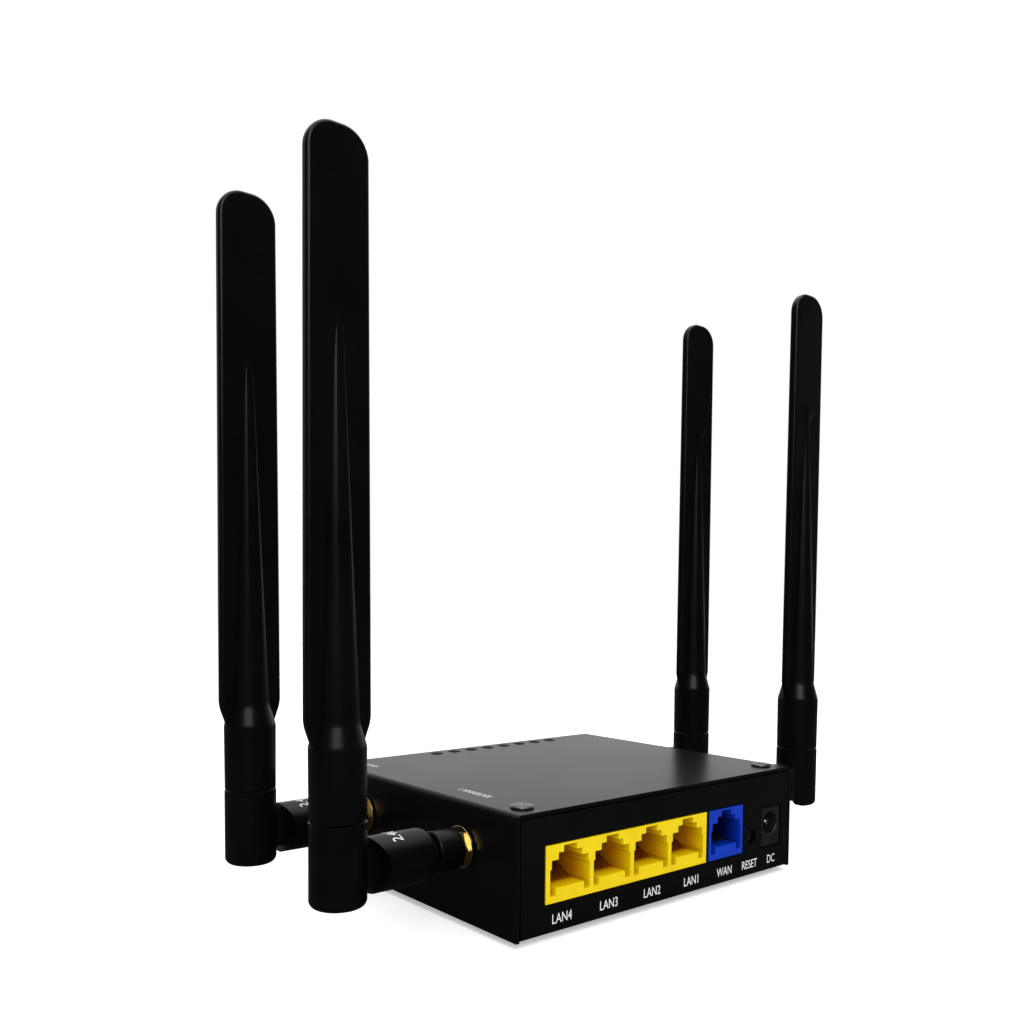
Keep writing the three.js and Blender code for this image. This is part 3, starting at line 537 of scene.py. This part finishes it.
yellow_nylon = finish(
    "Yellow nylon, painted socket shade", (0.76, 0.57, 0.0005), (0.7, 0.5, 0.0005),
    0.42, 0.08, 1800, 160, 0.03 * MM, 0.12, IOR=1.5, Specular_IOR_Level=0.15,
)
# Painted shade: the yellow turns a deeper orange inside the sockets.
shade_socket_insides(yellow_nylon, (0.6, 0.25, 0.0002))
blue_nylon = finish(
    "Blue nylon, painted socket shade", (0.0005, 0.033, 0.42), (0.0005, 0.028, 0.36),
    0.42, 0.08, 1800, 160, 0.03 * MM, 0.12, IOR=1.5, Specular_IOR_Level=0.15,
)
# Painted shade: the blue turns darker inside the socket.
shade_socket_insides(blue_nylon, (0.0003, 0.004, 0.07))
lan_jack = make_jack("lan", lan_low, lan_high, lan_centres)
stand_for(lan_jack, "case", "lan_jack_block", yellow_nylon)
wan_jack = make_jack("wan", wan_low, wan_high, wan_centres)
stand_for(wan_jack, "case", "wan_jack", blue_nylon)

# ---- Jack contacts ----
# Eight gold-plated spring wires stand in each socket, fixed in a dark insert that closes the back.
# They slope forward and down, and their tips turn over towards the socket's floor.

WIRE_HALF = 0.21 * MM
WIRE_PITCH = 1.02 * MM
WIRE_SLOPE = 0.46


def make_wire(low):
    """One wire at x = 0, from its tip at the front to the insert."""
    front, rear = lan_low.y + 4.3 * MM, low.y + 14.5 * MM
    height = lan_low.z + 3.75 * MM
    rise = WIRE_SLOPE * (rear - front)
    wire = slab("wire", (-WIRE_HALF, front, height), (WIRE_HALF, rear, height + 0.36 * MM))
    choose_faces(wire, lambda middle, normal: normal.y > 0.5)
    bpy.ops.transform.translate(value=(0, 0, rise))
    leave_edit()
    choose_faces(wire, lambda middle, normal: normal.y < -0.5)
    bpy.ops.mesh.extrude_region_move(TRANSFORM_OT_translate={"value": (0, -0.25 * MM, -0.04 * MM)})
    bpy.ops.mesh.extrude_region_move(TRANSFORM_OT_translate={"value": (0, -0.2 * MM, -0.14 * MM)})
    leave_edit()
    soften(wire, 0.05 * MM)
    return wire


def make_insert(name, node, centres):
    low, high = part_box(node)
    bar_front = lan_low.y + 14.3 * MM
    bar = slab(name, (low.x, bar_front, low.z), (high.x, high.y, high.z))
    soften(bar, 0.15 * MM)
    wire = make_wire(lan_low)
    wires = []
    for x in centres:
        for i in range(8):
            wires.append(copy_of(wire, "wire", Matrix.Translation((x + (i - 3.5) * WIRE_PITCH, 0, 0))))
    bpy.data.objects.remove(wire)
    contacts = weld(wires)
    dress(bar, jack_black)
    bar.name = f"{node}_insert"
    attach(bar, "case")
    stand_for(contacts, "case", node, contact_gold_shaded)


# The gold is darkened to a brown bronze: painted shade for the wires deep inside the sockets.
contact_gold_shaded = finish(
    "Gold plating, darkened as painted shade", (0.55, 0.30, 0.09), (0.38, 0.19, 0.06),
    0.28, 0.15, 2500, 900, 0.01 * MM, 0.1, Metallic=1.0,
)
jack_black = finish(
    "Black moulded plastic", (0.006, 0.006, 0.006), (0.01, 0.01, 0.01),
    0.38, 0.1, 2200, 150, 0.04 * MM, 0.25, IOR=1.45,
)
make_insert("lan_insert", "lan_contacts", lan_centres)
make_insert("wan_insert", "wan_contacts", wan_centres)

# ---- Power inlet ----
# A small moulded barrel jack just behind the panel's cut-out, with a nickel-plated centre pin. Its
# round mouth has a slight lead-in.

inlet_x = (inlet_low.x + inlet_high.x) / 2
pin_low, pin_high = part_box("dc_jack_pin")
inlet_z = (pin_low.z + pin_high.z) / 2
inlet = slab("inlet", inlet_low, inlet_high)
mouth = turned("mouth", [
    (-1 * MM, 3.55 * MM), (0, 3.5 * MM), (0.35 * MM, 3.15 * MM), (9.5 * MM, 3.15 * MM), (9.5 * MM, 1.25 * MM),
    (15 * MM, 1.25 * MM),
])
mouth.rotation_euler = (math.radians(-90), 0, 0)
mouth.location = (inlet_x, inlet_low.y, inlet_z)
settle(mouth)
punch(inlet, [mouth])
soften(inlet, 0.15 * MM)
stand_for(inlet, "case", "dc_jack_housing", jack_black)

nickel = finish(
    "Nickel plating", (0.62, 0.61, 0.58), (0.5, 0.49, 0.47),
    0.2, 0.12, 2500, 700, 0.01 * MM, 0.1, Metallic=1.0,
)
pin_length = pin_high.y - pin_low.y
pin = turned("pin", [
    (0, 0.35 * MM), (0.15 * MM, 0.7 * MM), (0.5 * MM, 0.95 * MM), (0.9 * MM, 1 * MM), (pin_length, 1 * MM),
], 40)
pin.rotation_euler = (math.radians(-90), 0, 0)
pin.location = (inlet_x, pin_low.y, inlet_z)
settle(pin)
smooth(pin, 35)
stand_for(pin, "case", "dc_jack_pin", nickel)

# ---- Reset button and switch ----
# A dished plastic plunger behind the small round hole in the port panel. It slides back into the
# switch that is soldered to the board.

switch_low, switch_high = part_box("reset_switch")
reset_switch = slab("switch", switch_low, switch_high)
punch(reset_switch, [rod(
    "bore", 1.4 * MM, (reset_x, switch_low.y - MM, reset_z), (reset_x, switch_low.y + 3.2 * MM, reset_z),
)])
soften(reset_switch, 0.2 * MM)
stand_for(reset_switch, "case", "reset_switch", jack_black)

stem_length = button_high.y - button_low.y
plunger = turned("plunger", [
    (0.25 * MM, 0.6 * MM), (0.12 * MM, 1.1 * MM), (0, 1.45 * MM), (0.06 * MM, 1.62 * MM),
    (0.2 * MM, 1.7 * MM), (2.7 * MM, 1.7 * MM), (2.7 * MM, 1.1 * MM), (stem_length, 1.1 * MM),
], 40)
plunger.rotation_euler = (math.radians(-90), 0, 0)
plunger.location = (reset_x, button_low.y, reset_z)
settle(plunger)
smooth(plunger, 35)
stand_for(plunger, "reset_button", "reset_button", jack_black)

# ---- Light guide ----
# One smoked clear moulding on two legs, with a round stub for each of the eight windows. The stubs
# carry the light up from the board and end in low domes just above the cover.

LEG_WIDTH = 2 * MM
RAIL_HEIGHT = 2 * MM
rail_low = cover_high.z - 6 * MM
leg_high = (board_high.y - MM, rail_low + RAIL_HEIGHT / 2)
legs = [
    slab("leg", light_low, (light_low.x + LEG_WIDTH, *leg_high)),
    slab("leg", (light_high.x - LEG_WIDTH, light_low.y, light_low.z), (light_high.x, *leg_high)),
]
guide = slab(
    "guide", (light_low.x, light_low.y, rail_low), (light_high.x, light_high.y, rail_low + RAIL_HEIGHT),
)
fuse(guide, *legs)
stub = turned("stub", [
    (0, 1.55 * MM), (4.95 * MM, 1.55 * MM), (5.15 * MM, 1.45 * MM), (5.27 * MM, 1.2 * MM),
    (5.33 * MM, 0.8 * MM), (5.35 * MM, 0.3 * MM),
], 32)
stub_foot = cover_high.z - 5.05 * MM
for x in light_xs:
    fuse(guide, copy_of(stub, "stub", Matrix.Translation((x, light_y, stub_foot))))
bpy.data.objects.remove(stub)
soften(guide, 0.1 * MM)
smoked_clear = finish(
    "Smoked clear plastic", (0.008, 0.009, 0.01), (0.014, 0.015, 0.016),
    0.6, 0.06, 1500, 300, 0.02 * MM, 0.1, IOR=1.49, Specular_IOR_Level=0.06, Transmission_Weight=0.2,
)
stand_for(guide, "case", "light_guide", smoked_clear)

# ---- Port labels ----
# White ink printed under each port, and beside the antenna connectors on the cover: plain words and
# numbers only.


def print_label(name, words, size, squeeze, place, turn):
    """Ink 0.02 mm thick, centred on its place. The turn takes it from lying flat and facing up."""
    bpy.ops.object.select_all(action="DESELECT")
    bpy.ops.object.text_add()
    label = bpy.context.object
    label.name = name
    label.data.body = words
    label.data.size = size
    label.data.align_x = "CENTER"
    label.data.align_y = "CENTER"
    label.data.extrude = 0.01 * MM
    bpy.ops.object.convert(target="MESH")
    label = bpy.context.object
    label.scale = (squeeze, 1, 1)
    settle(label)
    label.data.transform(Matrix.Translation(place) @ turn)
    dress(label, white_ink)
    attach(label, "case")
    return label


white_ink = finish("White ink", (0.8, 0.8, 0.8), (0.7, 0.7, 0.7), 0.5, 0.1, 2500, 600, 0.01 * MM, 0.2)
stand_up = Matrix.Rotation(math.radians(90), 4, "X")
label_y = tray_low.y - 0.012 * MM
label_z = cover_low.z + 3.4 * MM
PORT_LABELS = (
    ("LAN4", lan_centres[0] - 2.6 * MM),
    ("LAN3", lan_centres[1] - 1.1 * MM),
    ("LAN2", lan_centres[2] + 0.4 * MM),
    ("LAN1", lan_centres[3] + 1.8 * MM),
    ("WAN", wan_centres[0] - 0.5 * MM),
    ("RESET", reset_x - 0.8 * MM),
    ("DC", inlet_x),
)
for words, x in PORT_LABELS:
    print_label(f"label_{words.lower()}", words, 3.3 * MM, 0.8, (x, label_y, label_z), stand_up)

lie_outward = Matrix.Rotation(math.radians(90), 4, "Z")
cover_label_x = cover_low.x + 7.9 * MM
cover_label_z = cover_high.z + 0.012 * MM
for number, y in ((1, -16.6 * MM), (2, 35.2 * MM)):
    place = (cover_label_x, y, cover_label_z)
    print_label(f"label_antenna_{number}", f"ANTENNA {number}", 3 * MM, 0.76, place, lie_outward)

# ---- Antenna connectors ----
# Brass coaxial sockets, threaded outside, clamped through the side walls by a hexagon nut with a
# thin washer. Each is modelled along +X with the wall at x = 0, then copied to its own place.

HEX_CORNER_RADIUS = 4.62 * MM
THREAD_RADIUS = 3.15 * MM


def placed(place):
    """Takes a piece from the modelling place to one of the four antennas."""
    low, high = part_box(f"{place}_sma_jack")
    side = math.copysign(1, low.x)
    wall = Vector((side * cover_high.x, (low.y + high.y) / 2, (low.z + high.z) / 2))
    turn = Matrix.Rotation(0 if side > 0 else math.pi, 4, "Z")
    return Matrix.Translation(wall) @ turn


def along_x(piece):
    """Lays a piece turned about Z along +X."""
    piece.rotation_euler = (0, math.radians(90), 0)
    return settle(piece)


def four_of(piece, part, body, material):
    for place in PLACES:
        twin = copy_of(piece, part, placed(place))
        stand_for(twin, body.format(place=place), f"{place}_{part}", material)
    bpy.data.objects.remove(piece)


brass = finish(
    "Gold-plated brass", (0.68, 0.52, 0.24), (0.56, 0.42, 0.18),
    0.12, 0.05, 2500, 500, 0.01 * MM, 0.12, Metallic=1.0,
)
thread = [(-2.8 * MM, THREAD_RADIUS)]
for i in range(28):
    height = -1.2 * MM + i * 0.3 * MM
    thread.append((height, THREAD_RADIUS - (0.2 * MM if i % 2 else 0)))
socket = turned("socket", [
    (-6 * MM, 1.8 * MM), (-2.8 * MM, 1.8 * MM), *thread, (7.4 * MM, THREAD_RADIUS - 0.1 * MM),
    (7.6 * MM, THREAD_RADIUS - 0.3 * MM), (7.6 * MM, 2.3 * MM), (3.2 * MM, 2.3 * MM), (3.2 * MM, 0.6 * MM),
    (4.6 * MM, 0.45 * MM),
], 48)
along_x(socket)
inner_hexagon = along_x(turned("hexagon", [
    (-3.8 * MM, HEX_CORNER_RADIUS), (-1.3 * MM, HEX_CORNER_RADIUS),
], 6))
fuse(socket, inner_hexagon)
smooth(socket, 35)
four_of(socket, "sma_jack", "case", brass)

washer = along_x(turned("washer", [
    (0.3 * MM, 3.45 * MM), (0.3 * MM, 5 * MM), (0.4 * MM, 5.1 * MM), (0.8 * MM, 5.1 * MM), (0.9 * MM, 5 * MM),
    (0.9 * MM, 3.45 * MM), (0.3 * MM, 3.45 * MM),
], 64, hollow=True))
soften(washer, 0.04 * MM)
nut = along_x(turned("nut", [
    (0.9 * MM, 3.45 * MM), (0.9 * MM, HEX_CORNER_RADIUS), (2.1 * MM, HEX_CORNER_RADIUS),
    (2.1 * MM, 3.45 * MM), (0.9 * MM, 3.45 * MM),
], 6, hollow=True))
corner_cutter = along_x(turned("cutter", [
    (0.85 * MM, 4.2 * MM), (1.15 * MM, 4.62 * MM), (1.6 * MM, 4.62 * MM), (2.15 * MM, 4 * MM),
], 64))
shape_with(nut, "BOOLEAN", object=corner_cutter, operation="INTERSECT", solver="EXACT")
bpy.data.objects.remove(corner_cutter)
soften(nut, 0.05 * MM)
nut = weld([nut, washer])
four_of(nut, "sma_nut", "case", brass)

# ---- Coupling nuts ----
# The black nut at each antenna's foot, moulded over brass. It spins freely
# on the barrel's neck and screws onto the connector.

antenna_black = finish(
    "Antenna plastic", (0.0008, 0.0008, 0.001), (0.0016, 0.0016, 0.0018),
    0.3, 0.05, 2000, 60, 0.03 * MM, 0.12, IOR=1.45, Specular_IOR_Level=0.3,
)
coupling = along_x(turned("coupling", [
    (2.4 * MM, 3.45 * MM), (2.4 * MM, 4.65 * MM), (2.65 * MM, 4.9 * MM), (8.8 * MM, 4.9 * MM),
    (9.2 * MM, 4.5 * MM), (9.2 * MM, 2.7 * MM), (8.4 * MM, 2.7 * MM), (8.4 * MM, 3.45 * MM),
    (2.4 * MM, 3.45 * MM),
], 64, hollow=True))
soften(coupling, 0.1 * MM)
four_of(coupling, "coupling_nut", "{place}_nut", antenna_black)

# ---- Hinge barrels and pins ----
# The barrel turns on the connector. Its foot is rounded, its far end is hollowed so the knuckle can
# swing, and a flat tongue runs out to the steel hinge pin.

HINGE_OUT = 33.4 * MM
TUBE_RADIUS = 6.3 * MM
SHOULDER_RADIUS = 9.8 * MM
TONGUE_HALF = 2.2 * MM
TONGUE_RADIUS = 4.2 * MM
barrel_outline = [(8 * MM, 2.4 * MM), (9.5 * MM, 2.4 * MM)]
for height, radius in reversed(rounded(9.5 * MM, TUBE_RADIUS, 3.6 * MM, -1, 12)):
    barrel_outline.append((height, radius))
barrel_outline.append((HINGE_OUT - TUBE_RADIUS, TUBE_RADIUS))
barrel = along_x(turned("barrel", barrel_outline, 96))
hollow = rod("hollow", SHOULDER_RADIUS, (HINGE_OUT, -8 * MM, 0), (HINGE_OUT, 8 * MM, 0), 160)
punch(barrel, [hollow])
tongue = slab(
    "tongue", (HINGE_OUT - SHOULDER_RADIUS - 2.2 * MM, -TONGUE_HALF, -TONGUE_RADIUS),
    (HINGE_OUT + TONGUE_RADIUS, TONGUE_HALF, TONGUE_RADIUS),
)
choose_edges(tongue, lambda a, b: abs(a.y - b.y) > MM and min(a.x, b.x) > HINGE_OUT)
bpy.ops.mesh.bevel(offset=0.995 * TONGUE_RADIUS, segments=20, affect="EDGES")
leave_edit()
punch(tongue, [rod("bore", 1.8 * MM, (HINGE_OUT, -5 * MM, 0), (HINGE_OUT, 5 * MM, 0), 32)])
fuse(barrel, tongue)
soften(barrel, 0.15 * MM)
four_of(barrel, "hinge_barrel", "{place}_barrel", antenna_black)

hinge_pin = turned("pin", [
    (-4.6 * MM, 1.3 * MM), (-4.4 * MM, 1.5 * MM), (4.4 * MM, 1.5 * MM), (4.6 * MM, 1.3 * MM),
], 40)
hinge_pin.rotation_euler = (math.radians(90), 0, 0)
hinge_pin.location = (HINGE_OUT, 0, 0)
settle(hinge_pin)
smooth(hinge_pin, 35)
four_of(hinge_pin, "hinge_pin", "{place}_barrel", nickel)

# ---- Band marks ----
# The radio band in white ink, printed around the top of each barrel with the figures' feet towards
# the case.

BAND_RADIUS = TUBE_RADIUS + 0.02 * MM
BAND_PLACE = 19.9 * MM
BAND_LEAN = math.radians(9)
BEND_STEP = 0.35 * MM
bpy.ops.object.select_all(action="DESELECT")
bpy.ops.object.text_add()
band = bpy.context.object
band.data.body = "2.4GHz"
band.data.size = 3.7 * MM
band.data.align_x = "CENTER"
band.data.align_y = "CENTER"
band.data.extrude = 0.03 * MM
bpy.ops.object.convert(target="MESH")
band = bpy.context.object
band.rotation_euler = (math.radians(90), 0, 0)
band.scale = (0.85, 1, 1)
settle(band)
choose_edges(band, lambda a, b: True)
for step in range(-16, 17):
    bpy.ops.mesh.select_all(action="SELECT")
    bpy.ops.mesh.bisect(plane_co=(step * BEND_STEP, 0, 0), plane_no=(1, 0, 0))
leave_edit()
band_turn = band.dimensions.x / BAND_RADIUS
shape_with(band, "SIMPLE_DEFORM", deform_method="BEND", deform_axis="Z", angle=band_turn)
lie_around = Matrix(((0, 0, 1, BAND_PLACE), (-1, 0, 0, 0), (0, -1, 0, BAND_RADIUS), (0, 0, 0, 1)))
lie_around = Matrix.Rotation(BAND_LEAN, 4, "X") @ lie_around
for place in PLACES:
    mark = copy_of(band, f"{place}_band_mark", placed(place) @ lie_around)
    dress(mark, white_ink)
    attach(mark, f"{place}_barrel")
bpy.data.objects.remove(band)

# ---- Knuckles ----
# The fork under each blade: a round post, rounded at the bottom, with a slot for the tongue that is
# open towards the case and below.

KNUCKLE_BOTTOM = -7.6 * MM
KNUCKLE_TOP = 10.8 * MM
SLOT_HALF = 2.5 * MM
SLOT_RADIUS = 4.6 * MM
knuckle = turned("knuckle", [
    *reversed(rounded(KNUCKLE_BOTTOM, TUBE_RADIUS, 1.6 * MM, -1, 8)), (KNUCKLE_TOP, TUBE_RADIUS),
], 96)
knuckle.location = (HINGE_OUT, 0, 0)
settle(knuckle)
envelope = slab(
    "envelope", (HINGE_OUT - TUBE_RADIUS, -9 * MM, KNUCKLE_BOTTOM),
    (HINGE_OUT + 9 * MM, 9 * MM, KNUCKLE_TOP + MM),
)
choose_edges(envelope, lambda a, b: abs(a.y - b.y) > MM and a.z < 0 and a.x < HINGE_OUT)
bpy.ops.mesh.bevel(offset=4.2 * MM, segments=16, affect="EDGES")
leave_edit()
shape_with(knuckle, "BOOLEAN", object=envelope, operation="INTERSECT", solver="EXACT")
bpy.data.objects.remove(envelope)
slot_open = HINGE_OUT - 8 * MM
slot_cores = [
    slab("slot", (slot_open, -SLOT_HALF, KNUCKLE_BOTTOM - MM), (HINGE_OUT + SLOT_RADIUS, SLOT_HALF, 0)),
    slab("slot", (slot_open, -SLOT_HALF, -MM), (HINGE_OUT, SLOT_HALF, SLOT_RADIUS)),
    rod("slot", SLOT_RADIUS, (HINGE_OUT, -SLOT_HALF, 0), (HINGE_OUT, SLOT_HALF, 0), 64),
]
fuse(*slot_cores)
punch(knuckle, slot_cores[:1])
punch(knuckle, [rod("bore", 1.8 * MM, (HINGE_OUT, -4.9 * MM, 0), (HINGE_OUT, 4.9 * MM, 0), 32)])
soften(knuckle, 0.18 * MM, 2)
four_of(knuckle, "hinge_knuckle", "{place}_antenna", antenna_black)

# ---- Antenna blades ----
# A moulded cover: a round sleeve over the knuckle that opens into a thin flat blade, stiffened by a
# round spine that tapers up the middle of both faces.

SLEEVE_TOP = 27.2 * MM
BLADE_SHOULDER = 32.2 * MM
ANTENNA_TIP = 156.5 * MM
BLADE_HALF_LOW = 7.9 * MM
BLADE_HALF_HIGH = 7.35 * MM
BLADE_HALF_THICKNESS = 1.4 * MM
spine = turned("spine", [
    (KNUCKLE_TOP + 0.3 * MM, 5.9 * MM), (KNUCKLE_TOP + 0.4 * MM, 6.1 * MM),
    (KNUCKLE_TOP + 0.6 * MM, 6.22 * MM),
    (SLEEVE_TOP - 0.6 * MM, TUBE_RADIUS), (SLEEVE_TOP, 6.25 * MM), (SLEEVE_TOP + 0.6 * MM, 6.1 * MM),
    (BLADE_SHOULDER - 0.8 * MM, 5.1 * MM), (BLADE_SHOULDER, 4.92 * MM), (BLADE_SHOULDER + MM, 4.85 * MM),
    (128 * MM, 1.1 * MM),
], 96)
spine.location = (HINGE_OUT, 0, 0)
settle(spine)
blade = slab(
    "blade", (HINGE_OUT - BLADE_HALF_LOW, -BLADE_HALF_THICKNESS, SLEEVE_TOP - MM),
    (HINGE_OUT + BLADE_HALF_LOW, BLADE_HALF_THICKNESS, ANTENNA_TIP),
)
blade_taper = BLADE_HALF_HIGH / BLADE_HALF_LOW
choose_faces(blade, lambda middle, normal: normal.z > 0.5)
bpy.ops.transform.resize(value=(blade_taper, 1, 1), center_override=(HINGE_OUT, 0, ANTENNA_TIP))
for height in (BLADE_SHOULDER, *(z * MM for z in range(42, 150, 10)), ANTENNA_TIP - 7 * MM):
    bpy.ops.mesh.select_all(action="SELECT")
    bpy.ops.mesh.bisect(plane_co=(HINGE_OUT, 0, height), plane_no=(0, 0, 1))
leave_edit()
choose_faces(blade, lambda middle, normal: normal.z < -0.5)
bpy.ops.transform.resize(value=(5.7 / 7.9, 1, 1), center_override=(HINGE_OUT, 0, SLEEVE_TOP))
leave_edit()
choose_edges(blade, lambda a, b: abs(a.y - b.y) > MM and min(a.z, b.z) > ANTENNA_TIP - MM)
bpy.ops.mesh.bevel(offset=6.2 * MM, segments=16, affect="EDGES")
leave_edit()
choose_edges(blade, lambda a, b: abs(a.y - b.y) > MM and abs(a.z - BLADE_SHOULDER) < 0.5 * MM)
bpy.ops.mesh.bevel(offset=1.5 * MM, segments=6, affect="EDGES")
leave_edit()
shape_with(
    blade, "BEVEL", width=0.95 * MM, segments=6, limit_method="ANGLE", angle_limit=math.radians(50),
)
fuse(spine, blade)
smooth(spine, 28)
four_of(spine, "antenna_blade", "{place}_antenna", antenna_black)

# ---- Inside the case ----
# The board, its chips, the heatsink and the line transformers, the board screws, and the coax leads
# that run from the connectors to the board.

solder_mask = finish(
    "Green solder mask", (0.004, 0.06, 0.02), (0.006, 0.09, 0.03),
    0.3, 0.12, 1200, 350, 0.05 * MM, 0.3, IOR=1.5,
)
chip_epoxy = finish(
    "Chip epoxy", (0.01, 0.01, 0.011), (0.018, 0.018, 0.019), 0.6, 0.1, 2500, 300, 0.05 * MM, 0.3,
)
extruded_aluminium = finish(
    "Extruded aluminium", (0.7, 0.71, 0.72), (0.58, 0.59, 0.6),
    0.32, 0.14, 1800, 250, 0.03 * MM, 0.25, Metallic=1.0,
)
zinc_steel = finish(
    "Zinc-plated steel", (0.6, 0.6, 0.58), (0.45, 0.45, 0.42),
    0.3, 0.2, 2500, 400, 0.02 * MM, 0.2, Metallic=1.0,
)
cable_jacket = finish(
    "Cable jacket", (0.012, 0.012, 0.013), (0.02, 0.02, 0.021), 0.42, 0.1, 2000, 300, 0.03 * MM, 0.2,
)
inside = {
    "main_board": solder_mask,
    "processor": chip_epoxy,
    "lan_transformer": chip_epoxy,
    "wan_transformer": chip_epoxy,
    "heatsink": extruded_aluminium,
}
for number in range(1, 5):
    inside[f"board_screw_{number}"] = zinc_steel
for place in PLACES:
    inside[f"{place}_coax_lead"] = cable_jacket
for node, material in inside.items():
    dress(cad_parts[node], material)

# ---- Studio ----
# A plain pale floor under a soft white sky that is brighter on the far side, with one wide soft light
# overhead and a small one over the port side.

bpy.ops.object.select_all(action="DESELECT")
bpy.ops.mesh.primitive_plane_add(size=12, location=(0, 0, 0))
floor = bpy.context.object
floor.name = "studio_floor"
floor_paint = bpy.data.materials.new("Studio floor")
floor_paint.use_nodes = True
floor_nodes, floor_links = floor_paint.node_tree.nodes, floor_paint.node_tree.links
floor_shader = floor_nodes["Principled BSDF"]
floor_shader.inputs["Roughness"].default_value = 0.9
floor_shader.inputs["Specular IOR Level"].default_value = 0.1
floor_shader.inputs["Emission Color"].default_value = (1, 1, 1, 1)
floor_path = floor_nodes.new("ShaderNodeLightPath")
floor_colour = floor_nodes.new("ShaderNodeMix")
floor_colour.data_type = "RGBA"
floor_colour.inputs["A"].default_value = (0.86, 0.86, 0.86, 1)
floor_colour.inputs["B"].default_value = (0.04, 0.04, 0.04, 1)
floor_links.new(floor_path.outputs["Is Glossy Ray"], floor_colour.inputs["Factor"])
floor_links.new(floor_colour.outputs["Result"], floor_shader.inputs["Base Color"])
floor_glow = floor_nodes.new("ShaderNodeMath")
floor_glow.operation = "MULTIPLY"
floor_glow.inputs[1].default_value = 0.4
floor_links.new(floor_path.outputs["Is Camera Ray"], floor_glow.inputs[0])
floor_links.new(floor_glow.outputs[0], floor_shader.inputs["Emission Strength"])
dress(floor, floor_paint)

sky = bpy.data.worlds.new("Studio sky")
bpy.context.scene.world = sky
sky.use_nodes = True
sky_nodes, sky_links = sky.node_tree.nodes, sky.node_tree.links
background = sky_nodes["Background"]
background.inputs["Color"].default_value = (1, 1, 1, 1)
direction = sky_nodes.new("ShaderNodeTexCoord")
far_side = sky_nodes.new("ShaderNodeVectorMath")
far_side.operation = "DOT_PRODUCT"
far_side.inputs[1].default_value = (0.63, 0.776, 0.25)
sky_links.new(direction.outputs["Generated"], far_side.inputs[0])
ramp = sky_nodes.new("ShaderNodeMapRange")
ramp.interpolation_type = "SMOOTHSTEP"
ramp.inputs["From Min"].default_value = 0.2
ramp.inputs["From Max"].default_value = 0.9
ramp.inputs["To Min"].default_value = 0.03
ramp.inputs["To Max"].default_value = 0.76
sky_links.new(far_side.outputs["Value"], ramp.inputs["Value"])
path = sky_nodes.new("ShaderNodeLightPath")
mirrored = sky_nodes.new("ShaderNodeMix")
mirrored.data_type = "FLOAT"
mirrored.inputs["A"].default_value = 0.75
sky_links.new(path.outputs["Is Glossy Ray"], mirrored.inputs["Factor"])
sky_links.new(ramp.outputs["Result"], mirrored.inputs["B"])
seen = sky_nodes.new("ShaderNodeMix")
seen.data_type = "FLOAT"
sky_links.new(path.outputs["Is Camera Ray"], seen.inputs["Factor"])
sky_links.new(mirrored.outputs["Result"], seen.inputs["A"])
seen.inputs["B"].default_value = 1.0
sky_links.new(seen.outputs["Result"], background.inputs["Strength"])


def soft_light(name, place, aim, width, height, power):
    lamp = bpy.data.lights.new(name, "AREA")
    lamp.shape = "RECTANGLE"
    lamp.size, lamp.size_y, lamp.energy = width, height, power
    holder = bpy.data.objects.new(name, lamp)
    bpy.context.scene.collection.objects.link(holder)
    holder.location = place
    holder.rotation_euler = (Vector(aim) - Vector(place)).to_track_quat("-Z", "Y").to_euler()
    return holder


soft_light("over_light", (0, 0, 1.4), (0, 0, 0), 1.6, 1.6, 12)
port_light = soft_light("port_light", (-0.55, -0.75, 0.75), (0, 0, 0.04), 0.7, 0.7, 6)
port_light.data.specular_factor = 0.15

# ---- Camera ----
# It stands low off the corner between the port panel and the left wall.

lens = bpy.data.cameras.new("camera")
lens.lens = 33.159
lens.sensor_width = 36
lens.shift_x = 0.0131
lens.shift_y = 0.1366
lens.clip_start = 0.005
camera = bpy.data.objects.new("camera", lens)
bpy.context.scene.collection.objects.link(camera)
camera.location = (-0.18521, -0.19873, 0.07813)
camera.rotation_euler = (math.radians(86.832), math.radians(-0.394), math.radians(-39.122))
bpy.context.scene.camera = camera
bpy.context.scene.view_settings.view_transform = "Standard"
